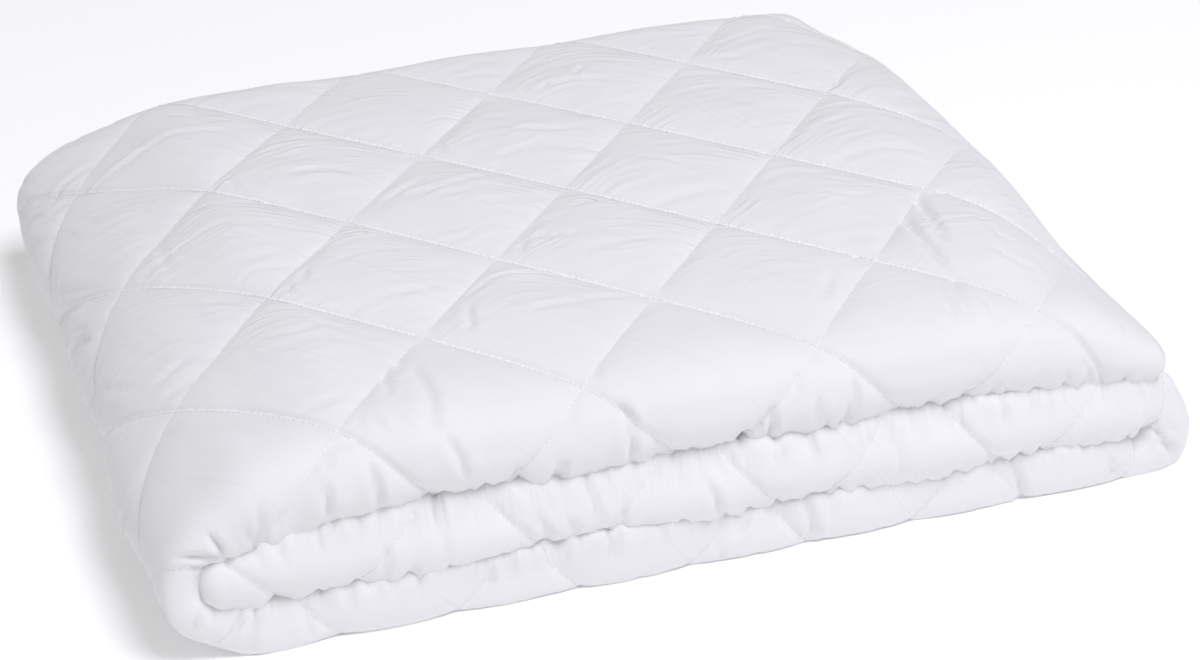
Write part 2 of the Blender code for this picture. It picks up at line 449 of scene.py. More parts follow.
    def drawn_in(self, u: Array, behind: Array) -> Array:
        """How far the upper end is drawn in, most at its back corner, in half diamonds.

        Args:
            u, behind: place along the strip, and distance behind the front fold.

        Returns:
            The distance.
        """
        draw = self.top_end_draw - self.top_end_less_draw * self.less_draw_behind.at(behind)
        corner = self.corner_draw * self.corner_behind.at(behind)
        return (draw + corner) * smooth(1 - (self.quilting.u_ends[1] - u) / self.draw_length)

    def winding(self, u: Array, behind: Array) -> Array:
        """Inside face of the doubled strip in the XZ plane, and its normal.

        The layers are straight, but for a slope down at the top layer's right end, and the two
        turns are half ellipses. The normal points to the strip's other face: up on the middle
        and top layers, down on the bottom layer.

        Args:
            u, behind: place along the strip, and distance behind the front fold.

        Returns:
            Four rows: x, z, and the normal's x and z.
        """
        half_x = self.quilting.half_x
        right_start, right_end, left_start, left_end = self.turns()
        bottom_z = self.bottom_height
        middle_z = bottom_z + self.gap
        top_z = middle_z + self.middle_height + self.gap
        none, one = np.zeros_like(u), np.ones_like(u)

        top_x = half_x * (u - left_end - self.drawn_in(u, behind)) + self.left_x
        to_right = left_end + (self.right_x - self.left_x) / half_x - u
        lower = self.middle_height - self.middle_end_height
        slope = lower * smooth(1 - to_right / self.end_slope_length)
        path = np.stack((top_x, top_z - slope, none, one))

        turn = math.pi * np.clip((u - left_start) / self.left_turn_u, 0.0, 1.0) - QUARTER_TURN
        out, up = np.cos(turn), np.sin(turn)
        radius = (top_z - bottom_z) / 2
        reach = self.left_reach - self.left_slant * smooth(behind / self.left_slant_depth)
        length = np.hypot(out / reach, up / radius)
        left = (self.left_x - reach * out, bottom_z + radius * (1 + up),
                -out / reach / length, up / radius / length)

        bottom = (self.left_x + half_x * (left_start - u), none + bottom_z, none, -one)

        turn = QUARTER_TURN - math.pi * np.clip((u - right_start) / self.right_turn_u, 0.0, 1.0)
        out, up = np.cos(turn), np.sin(turn)
        radius = self.gap / 2
        right = (self.right_x + radius * out, bottom_z + radius * (1 + up), out, up)

        from_end = (u - self.quilting.u_ends[0]) / self.inner_end_span
        reached = self.inner_end_reach * smooth(1 - from_end)
        lift = self.inner_end_lift * (1 - self.inner_fullness(u))
        middle = (self.right_x - half_x * (right_start - u) - reached, middle_z + lift, none, one)

        for end, section in (
                (left_end, left), (left_start, bottom), (right_end, right), (right_start, middle)):
            path = np.where(u < end, np.stack(section), path)
        return path

    def shown(self, u: Array, upper: Array, angle: Array) -> Array:
        """How much the surface stands out at each point.

        It is 1 on the top layer, the taut share round the turns and on the front fold, and 0
        where faces lie on each other. The left front corner is calmer.

        Args:
            u: place along the strip.
            upper: distance behind the front fold on the upper ply, negative on the lower one.
            angle: turn round the front fold.

        Returns:
            The share, 0..1.
        """
        right_start, right_end, left_start, left_end = self.turns()
        margin = self.corner_margin
        calm = self.corner_fades.within(u, left_start + margin, left_end - margin)
        calm *= smooth((self.corner_depth - np.abs(upper)) / self.corner_depth_ease)
        calm = 1 - self.corner_calm * calm
        front = self.front_share * self.front_ease.at(np.cos(angle))
        left = self.taut_share * self.left_taut_ease.at(u - left_start)
        left_and_top = left + (1 - left) * smooth((u - left_end) / self.top_ease)
        before, after = self.right_taut_margins
        right = self.taut_share * self.right_taut_fades.within(u, right_start + before, right_end - after)
        on_upper = smooth(0.5 + upper / self.upper_ply_ease)
        return np.maximum(np.maximum(left_and_top, right) * on_upper, front) * calm

    def spot(self, u: Array, v: Array) -> Spot:
        """How points of the pad lie in the stack.

        The angle round the front fold is the distance from the fold's middle over half the
        height, held to a quarter turn each way. Over the top layer's shoulder it nears the
        quarter turn by an exponential instead.

        Args:
            u, v: the points, in half diamonds.

        Returns:
            The points with their place in the stack.
        """
        knots = np.array(self.hairpin)
        fold_v = np.interp(u, knots[:, 0], knots[:, 1])
        front_y = np.interp(u, knots[:, 0], knots[:, 2])
        behind = np.abs(v - fold_v)
        height = self.strip_height(u, behind)
        along = (v - fold_v) * self.quilting.half_y
        way = np.abs(along) / (height / 2)
        turned = np.minimum(way, QUARTER_TURN)
        easing = QUARTER_TURN - self.shoulder_start
        past = np.maximum(way - self.shoulder_start, 0.0)
        eased = np.where(past > 0, QUARTER_TURN - easing * np.exp(-past / easing), turned)
        _, _, left_start, _ = self.turns()
        soft = smooth((u - left_start) / self.shoulder_ease) * (v < fold_v)
        angle = np.sign(along) * (turned + (eased - turned) * soft)
        shown = self.shown(u, fold_v - v, angle)
        return Spot(u, v, fold_v, front_y, behind, height, angle, along, shown)

    def place(self, spot: Spot, outer: bool, relief: Array) -> Array:
        """World points of one face of the pad.

        Across the strip the outer face runs flat over the upper ply, round a half circle of the
        strip's own height at the front, and flat back under the lower ply. The part of the way
        from the fold that isn't spent on the turn is spent on going back. The inner face runs
        beside it with an upright end at the front. Near a long edge each ply thins to its hem.
        Round the right turn the front fold stands back by a sine, which leaves a pocket there.

        Args:
            spot: the points of the pad.
            outer: True for the outer face, False for the inner one.
            relief: height of the surface over the outer face's plain form, in metres.

        Returns:
            The points, as an array of rows x, y, z in metres.
        """
        x, z, normal_x, normal_z = self.winding(spot.u, spot.behind)
        edge = self.quilting.side_distance(spot.v)
        thinned = (1 - self.hem_share) * (1 - rounded(edge / self.hem_length))
        up = 0.5 - normal_z / 2 * np.sin(spot.angle)
        ply = (spot.height - self.gap) / 2
        right_start, right_end, _, _ = self.turns()
        turned = np.clip((spot.u - right_start) / (right_end - right_start), 0.0, 1.0)
        pocket = self.pocket_setback * smooth(1 - spot.behind / self.pocket_depth)
        flat = np.abs(spot.along) - np.abs(spot.angle) * spot.height / 2
        centre_y = spot.front_y + spot.height / 2 + pocket * np.sin(math.pi * turned) + flat
        if outer:
            reach = self.gap / 2 + ply * (1 - thinned * up) + relief
            section_y = centre_y - reach * np.cos(spot.angle)
            section_z = -reach * np.sin(spot.angle)
        else:
            reach = self.gap / 2 + ply * thinned * (1 - up)
            section_y = centre_y - (reach - self.gap / 2) * np.cos(spot.angle)
            section_z = -reach * spot.angle / QUARTER_TURN
        lift = spot.height / 2 + section_z
        middle_x, middle_y = self.footprint_middle
        height = np.maximum(z + normal_z * lift, 0.0)
        return np.stack((x + normal_x * lift - middle_x, section_y - middle_y, height), -1)


# ---- Relief of the cloth -----------------------------------------------------
@dataclass(frozen=True)
class Puffs:
    """The filled diamonds between the seams, no two quite the same."""

    quilting: Quilting
    height: float = 6.7 * MM
    sharpness: float = 0.95
    shoulder: float = 8 * MM
    shoulder_share: float = 0.37
    unevenness: float = 0.14
    lumps: Noise = Noise(5, 0.55, 0.55, 0.9 * MM)
    draws: Draws = Draws(11)
    end_calm: float = 0.55
    end_length: float = 1.2
    back_calm: float = 0.5
    back_length: float = 1.6

    def relief(self, spot: Spot) -> Array:
        """Dome of each diamond, times the diamond's own height, plus soft lumps.

        The dome is a broad part, the product of a sine across each pair of seams to a power,
        and a quick shoulder, the product of one less exp(-distance / shoulder) for each pair.
        The diamonds are lower towards the pad's upper end and towards its long edges.

        Args:
            spot: the points of the pad.

        Returns:
            Heights in metres.
        """
        i, j, _, _ = self.quilting.diamond(spot.u, spot.v)
        broad = self.quilting.crown(spot.u, spot.v) ** self.sharpness
        from_steep, from_shallow = self.quilting.seam_distances(spot.u, spot.v)
        quick = (1 - np.exp(-from_steep / self.shoulder)) * (1 - np.exp(-from_shallow / self.shoulder))
        dome = (1 - self.shoulder_share) * broad + self.shoulder_share * quick
        own = 1 + self.unevenness * (2 * self.draws.of(i, j, 0) - 1)
        own *= 1 - self.end_calm * smooth(1 - (self.quilting.u_ends[1] - spot.u) / self.end_length)
        own *= 1 - self.back_calm * smooth(1 - self.quilting.side_distance(spot.v) / self.back_length)
        lumps = self.lumps.at(spot.u, spot.v) * np.sqrt(dome)
        return (self.height * own * dome + lumps) * spot.shown


@dataclass(frozen=True)
class Wrinkles:
    """Long wrinkles in each diamond, swept round its back corner.

    They leave the steep seam on the left, turn over and run along the shallow seam behind, as
    the drawn-in cloth does. They lie closest together by the back corner.
    """

    quilting: Quilting
    count: int = 7
    depth: float = 1.40 * MM
    width: float = 2.9 * MM
    wider_outside: float = 0.8
    draws: Draws = Draws(31)
    ranges: tuple[Range, ...] = (
        Range(0.5, 1.1),            # sweep
        Range(0.05, 0.80, 1.1),     # where it passes the diamond's middle line
        Range(-0.85, 0.9, 1.5),     # start
        Range(0.35, 1.0),           # length
        Range(0.2, 0.95, 2.0),      # share of the depth
        Range(0.75, 0.35),          # share of the width
    )
    waver: Noise = Noise(21, 0.7, 0.45, 0.07)
    stroke_fades: Fades = Fades(0.16, 0.4)
    steep_fades: Fades = Fades(0.015, 0.06)
    shallow_fades: Fades = Fades(0.04, 0.04)
    front_calm: float = 0.85
    front_rows: Ease = Ease(5.6, 2.4)

    def relief(self, spot: Spot) -> Array:
        """Sum of creased strokes, each along one curve of the swept family.

        Each stroke passes the diamond's middle line at its own distance from the back corner,
        and has its own sweep, start, end, depth and width, drawn for its diamond.

        Args:
            spot: the points of the pad.

        Returns:
            Heights in metres.
        """
        i, j, steep, shallow = self.quilting.diamond(spot.u, spot.v)
        waver = self.waver.at(spot.u, spot.v)
        total = np.zeros_like(spot.u)
        for k in range(self.count):
            sweep, passing, start, length, depth, width = self.draws.values(self.ranges, i, j, k)
            level, slope = self.quilting.swept(steep, shallow, sweep)
            centre, _ = self.quilting.swept(passing, passing, sweep)
            width = self.width * (width + self.wider_outside * passing)
            across = (level + waver - centre) / slope / width
            window = self.stroke_fades.within(steep - shallow, start, start + length)
            total += self.depth * depth * creased(across) * window
        inside = self.steep_fades.within(steep) * self.shallow_fades.within(shallow)
        rows = 1 - self.front_calm * self.front_rows.at(spot.v)
        return total * inside * rows * spot.shown


@dataclass(frozen=True)
class WrapWrinkles:
    """Fine wrinkles round the left turn, side by side and parallel to the shallow seams."""

    strip: FoldedStrip
    count: int = 8
    depth: float = 3.8 * MM
    width: float = 3.4 * MM
    bend: float = 0.22
    draws: Draws = Draws(37)
    ranges: tuple[Range, ...] = (
        Range(),                    # place within its share of the diamond
        Range(-0.1, 0.75),          # start
        Range(0.25, 0.5),           # length
        Range(),                    # share of the depth
    )
    waver: Noise = Noise(36, 0.5, 0.5, 0.03)
    stroke_fades: Fades = Fades(0.1, 0.2)
    steep_fades: Fades = Fades(0.03, 0.03)
    shallow_fades: Fades = Fades(0.05, 0.05)
    past_turn: float = 1.5
    turn_fades: Fades = Fades(0.8, 1.4)
    front_v: float = 8.3
    front_ease: float = 0.8

    def relief(self, spot: Spot) -> Array:
        """Creased strokes at drawn shares of each diamond, between drawn starts and ends.

        Args:
            spot: the points of the pad.

        Returns:
            Heights in metres.
        """
        quilting = self.strip.quilting
        _, _, left_start, left_end = self.strip.turns()
        i, j, steep, shallow = quilting.diamond(spot.u, spot.v)
        waver = self.waver.at(spot.u, spot.v)
        total = np.zeros_like(spot.u)
        for k in range(self.count):
            place, start, length, depth = self.draws.values(self.ranges, i, j, k)
            centre = (k + place) / self.count
            bent = shallow + waver + self.bend * (1 - steep) ** 2 * centre
            across = (bent - centre) * 2 * quilting.spacing / self.width
            window = self.stroke_fades.within(steep, start, start + length)
            total += self.depth * depth * creased(across) * window
        inside = self.steep_fades.within(steep) * self.shallow_fades.within(shallow)
        round_turn = self.turn_fades.within(spot.u, left_start, left_end + self.past_turn)
        front = smooth((self.front_v - spot.v) / self.front_ease)
        return total * inside * round_turn * front * spot.shown


@dataclass(frozen=True)
class Ripples:
    """Soft shallow ripples along the strip, over the whole cloth."""

    quilting: Quilting
    ripples: Noise = Noise(22, 0.80, 0.12, 0.55 * MM)
    bend: Noise = Noise(23, 0.9, 0.9, 0.06)
    patches: Noise = Noise(24, 0.8, 0.6, 0.8)
    steep_fades: Fades = Fades(0.05, 0.05)
    shallow_fades: Fades = Fades(0.08, 0.08)
    front_calm: float = 0.8
    front_rows: Ease = Ease(6.2, 1.8)

    def relief(self, spot: Spot) -> Array:
        """Noise drawn out along u, in patches.

        Args:
            spot: the points of the pad.

        Returns:
            Heights in metres.
        """
        _, _, steep, shallow = self.quilting.diamond(spot.u, spot.v)
        ripples = self.ripples.at(spot.u, spot.v + self.bend.at(spot.u, spot.v))
        patches = smooth(0.5 + self.patches.at(spot.u, spot.v))
        inside = self.steep_fades.within(steep) * self.shallow_fades.within(shallow)
        rows = 1 - self.front_calm * self.front_rows.at(spot.v)
        return ripples * patches * inside * rows * spot.shown


@dataclass(frozen=True)
class Tucks:
    """Short tucks on the right of the steep seams, nearer the left corner of each diamond."""

    quilting: Quilting
    count: int = 4
    depth: float = 1.1 * MM
    width: float = 2.0 * MM
    length: float = 0.16
    draws: Draws = Draws(41)
    ranges: tuple[Range, ...] = (
        Range(),                    # place within its share of the seam
        Range(-0.41, 0.3),          # slant
        Range(0.5, 0.9),            # share of the length
        Range(power=2.0),           # share of the depth
    )
    seam_span: Range = Range(0.40, 0.55)
    start: float = -0.02
    rise: float = 0.05
    fall_share: float = 0.7
    steep_fade: float = 0.012
    shallow_fade: float = 0.03

    def relief(self, spot: Spot) -> Array:
        """Creased strokes: each leaves the left seam and runs to the front, a little aslant.

        Args:
            spot: the points of the pad.

        Returns:
            Heights in metres.
        """
        i, j, steep, shallow = self.quilting.diamond(spot.u, spot.v)
        total = np.zeros_like(spot.u)
        for k in range(self.count):
            place, slant, length, depth = self.draws.values(self.ranges, i, j, k)
            place = self.seam_span.at((k + place) / self.count)
            length = self.length * length
            down = spot.v - (i + j + place)
            across = (spot.u - (i - j - place) - slant * down) * self.quilting.half_x / self.width
            window = Fades(self.rise, self.fall_share * length).within(down, self.start, length)
            total += self.depth * depth * creased(across) * window
        beside = smooth(steep / self.steep_fade) * smooth((1 - shallow) / self.shallow_fade)
        return total * beside * spot.shown


@dataclass(frozen=True)
class CrossingPuckers:
    """Small puckers that radiate from the places where two seams cross."""

    quilting: Quilting
    depth: float = 1.75 * MM
    reach: float = 12 * MM
    narrowness: float = 1.6
    twist: float = 1.5
    draws: Draws = Draws(51)
    ranges: tuple[Range, ...] = (
        Range(0.0, 2 * math.pi),    # phase
        Range(5.0, 3.0),            # lobes, rounded down
    )

    def relief(self, spot: Spot) -> Array:
        """A wave round each crossing, largest at under half of its reach and gone past it.

        Args:
            spot: the points of the pad.

        Returns:
            Heights in metres.
        """
        steep, shallow = (spot.u + spot.v) / 2, (spot.v - spot.u) / 2
        i, j = np.round(steep), np.round(shallow)
        along = (steep - i - shallow + j) * self.quilting.half_x
        across = (steep - i + shallow - j) * self.quilting.half_y
        radius = np.hypot(along, across) / self.reach
        turn = np.arctan2(across, along)
        phase, lobes = self.draws.values(self.ranges, i, j, 0)
        wave = np.cos(np.floor(lobes) * turn + phase + self.twist * np.sin(turn + phase))
        return self.depth * wave * radius * bell(self.narrowness * radius) * spot.shown


@dataclass(frozen=True)
class Lip:
    """How one side of a layer's front fold bulges into the hollow beside it."""

    span: Pair   # u where it starts and ends
    lower_ply: bool             # True on the ply with v past the fold
    height: float               # in millimetres
    turned: float               # where it is highest, round the fold from its middle
    spread: float               # how far it fades on either side


@dataclass(frozen=True)
class FoldLips:
    """The soft folds press into the hollows between the layers and nearly close them."""

    strip: FoldedStrip
    lips: tuple[Lip, ...] = (
        Lip((-2.9, 5.9), True, 3.9, 1.22, 0.35),
        Lip((3.9, 6.6), True, 2.6, 1.35, 0.50),
        Lip((-3.5, -2.1), True, 7.0, 1.10, 0.50),
        Lip((-2.4, -0.4), True, -3.5, 1.22, 0.35),
        Lip((-21.3, -19.1), False, 2.5, 1.27, 0.42),
        Lip((-20.2, -17.8), True, -8.0, 1.20, 0.40),
        Lip((-8.9, -5.9), True, 6.5, 1.10, 0.45),
        Lip((-21.6, -13.3), False, 7.4, 1.27, 0.42),
        Lip((-22.5, -14.0), True, 2.3, 1.20, 0.40),
        Lip((-12.9, -4.2), True, 6.4, 1.05, 0.45),
        Lip((-13.4, -3.6), False, 3.0, 0.95, 0.40),
    )
    lip_fades: Fades = Fades(0.5, 0.5)
    quicker_beyond: float = 1.6
    unevenness: Noise = Noise(71, 0.45, 1.0, 0.14)
    ply_apart: float = 3.0
    turn_fill: float = 16 * MM
    turn_fill_turned: Ease = Ease(1.0, 0.6)
    turn_fill_depth: float = 2.2
    valley_fill: float = 4.5 * MM
    hollow_turned: float = 1.38
    hollow_spread: float = 0.28

    def relief(self, spot: Spot) -> Array:
        """Bell-shaped bulges along the folds, as uneven as the filling.

        Inside the left turn the bulge follows the root of a sine along the turn, and it keeps its
        height up to its depth behind the front fold. In the hollows the seams' valleys are filled,
        because the cloth there is slack.

        Args:
            spot: the points of the pad.

        Returns:
            Heights in metres.
        """
        _, _, left_start, left_end = self.strip.turns()
        turned, lower = spot.turned, spot.lower
        uneven = 1 + self.unevenness.at(spot.u, self.ply_apart * lower + 0.5)
        total = np.zeros_like(spot.u)
        for lip in self.lips:
            across = (turned - lip.turned) / lip.spread
            across = np.where(across > 0, self.quicker_beyond * across, across)
            window = self.lip_fades.within(spot.u, *lip.span) * (lower == lip.lower_ply)
            total += lip.height * MM * bell(across) * window
        round_turn = np.sin(math.pi * np.clip((spot.u - left_start) / (left_end - left_start), 0, 1))
        inside = self.turn_fill_turned.at(turned) * smooth(self.turn_fill_depth - spot.behind) * lower
        total = total * uneven + self.turn_fill * np.sqrt(round_turn) * inside
        valley = 1 - self.strip.quilting.crown(spot.u, spot.v)
        hollow = bell((turned - self.hollow_turned) / self.hollow_spread)
        return total + self.valley_fill * valley * FrontPuckers(self.strip).share(spot) * hollow


@dataclass(frozen=True)
class FrontPuckers:
    """Upright puckers on the front folds, in the hollows between the layers.

    Large ones stand a few centimetres apart and small ones a few millimetres.
    """

    strip: FoldedStrip
    sizes: tuple[tuple[float, float, float, float], ...] = (
        # pitch in half diamonds, depth and width in millimetres, reach round the fold
        (0.33, 6.8, 3.4, 1.1),
        (0.115, 3.8, 2.1, 0.9),
    )
    draws: Draws = Draws(61)
    ranges: tuple[Range, ...] = (
        Range(0.1, 0.8),            # place within its pitch
        Range(0.15, 0.85, 1.5),     # share of the depth
        Range(0.8, 0.7),            # share of the width
        Range(0.3, 0.7),            # share of the reach
        Range(-0.08, 0.16),         # slant
    )
    slant_turned: float = 1.5
    last_turned: float = 2.0
    fade: float = 0.4
    top_start: float = -0.3
    on_floor: float = 0.25
    calm_on_turn: float = 0.85
    turn_fades: Fades = Fades(0.3, 0.3)
    gather_turned: Ease = Ease(0.30, 0.6)

    def share(self, spot: Spot) -> Array:
        """How much of the puckers each fold has.

        There are none on the top layer's shoulder and the left turn, and weak ones by the floor
        and round the right turn.

        Args:
            spot: the points of the pad.

        Returns:
            The shares, 0..1.
        """
        right_start, right_end, left_start, left_end = self.strip.turns()
        top = smooth((spot.u - left_end - self.top_start) / self.fade)
        bottom = Fades(self.fade, self.fade).within(spot.u, right_end, left_start + self.fade)
        calm = self.calm_on_turn * self.turn_fades.within(spot.u, right_start, right_end)
        middle = smooth((right_end - spot.u) / self.fade) - calm
        return np.where(spot.lower, top + bottom + middle, self.on_floor * bottom + middle)

    def ending(self, spot: Spot) -> Array:
        """1 up to the hollow behind a front fold, and 0 past it."""
        return smooth((self.last_turned - spot.turned) / self.fade)

    def gathers(self, spot: Spot) -> Array:
        """Weight of the finest pleats, 0..1: they hang from the hollows between the layers."""
        return self.share(spot) * self.gather_turned.at(spot.turned) * self.ending(spot)

    def relief(self, spot: Spot) -> Array:
        """Creased strokes across the fold, one for each pitch along u on either side of it.

        Each stroke is deepest in the hollow, where the fold has turned by about a quarter turn,
        and ends at its own angle towards the front.

        Args:
            spot: the points of the pad.

        Returns:
            Heights in metres.
        """
        half_x = self.strip.quilting.half_x
        side, turned = spot.lower, spot.turned
        total = np.zeros_like(spot.u)
        for row, (pitch, deepest, widest, furthest) in enumerate(self.sizes):
            cell = np.floor(spot.u / pitch)
            for other in (cell - 1, cell, cell + 1):
                place, depth, width, reach, slant = self.draws.values(self.ranges, other, side, row)
                aside = spot.u - (other + place) * pitch - slant * (self.slant_turned - turned)
                end = 1 - furthest * reach
                across = aside * half_x / (widest * MM * width)
                total += deepest * MM * depth * creased(across) * smooth((turned - end) / (1 - end))
        return total * self.share(spot) * self.ending(spot)


@dataclass(frozen=True)
class Crease:
    """One listed crease, along a line through a few points of the pad."""

    depth: float        # in millimetres
    width: float        # in millimetres
    points: tuple[Pair, ...]
    spread: float = 6.0
    fade: float = 0.3
    at_ends: float = 0.2
    corner_cuts: int = 2

    def line(self, scale: Array) -> Array:
        """The crease's line in metres, with its corners cut to a quarter of each side.

        Args:
            scale: metres per half diamond, along u and v.

        Returns:
            The line's points, as rows.
        """
        line = np.array(self.points) * scale
        for _ in range(self.corner_cuts):
            start, end = line[:-1], line[1:]
            cut = np.stack((0.75 * start + 0.25 * end, 0.25 * start + 0.75 * end), 1)
            line = np.concatenate((line[:1], cut.reshape(-1, 2), line[-1:]))
        return line

    def add_to(self, total: Array, x: Array, y: Array, scale: Array) -> None:
        """Add a creased stroke, which depends on the distance to the line and fades at its ends.

        Args:
            total: the heights so far, in metres.
            x, y: the points on the flat cloth, in metres.
            scale: length and width of half a diamond, in metres.
        """
        line = self.line(scale)
        around = self.spread * self.width * MM
        low, high = line.min(0) - around, line.max(0) + around
        near = np.nonzero((x > low[0]) & (x < high[0]) & (y > low[1]) & (y < high[1]))[0]
        nearest = np.full(len(near), np.inf)
        place = np.zeros(len(near))
        steps = np.diff(line, axis=0)
        lengths = np.hypot(steps[:, 0], steps[:, 1])
        passed = 0.0
        for start, step, length in zip(line, steps, lengths):
            dx, dy = x[near] - start[0], y[near] - start[1]
            share = np.clip((dx * step[0] + dy * step[1]) / length ** 2, 0.0, 1.0)
            distance = np.hypot(dx - share * step[0], dy - share * step[1])
            place = np.where(distance < nearest, passed + share * length, place)
            nearest = np.minimum(distance, nearest)
            passed += length
        share = place / passed
        window = smooth(self.at_ends + share / self.fade)
        window *= smooth(self.at_ends + (1 - share) / self.fade)
        total[near] += self.depth * MM * creased(nearest / (self.width * MM)) * window


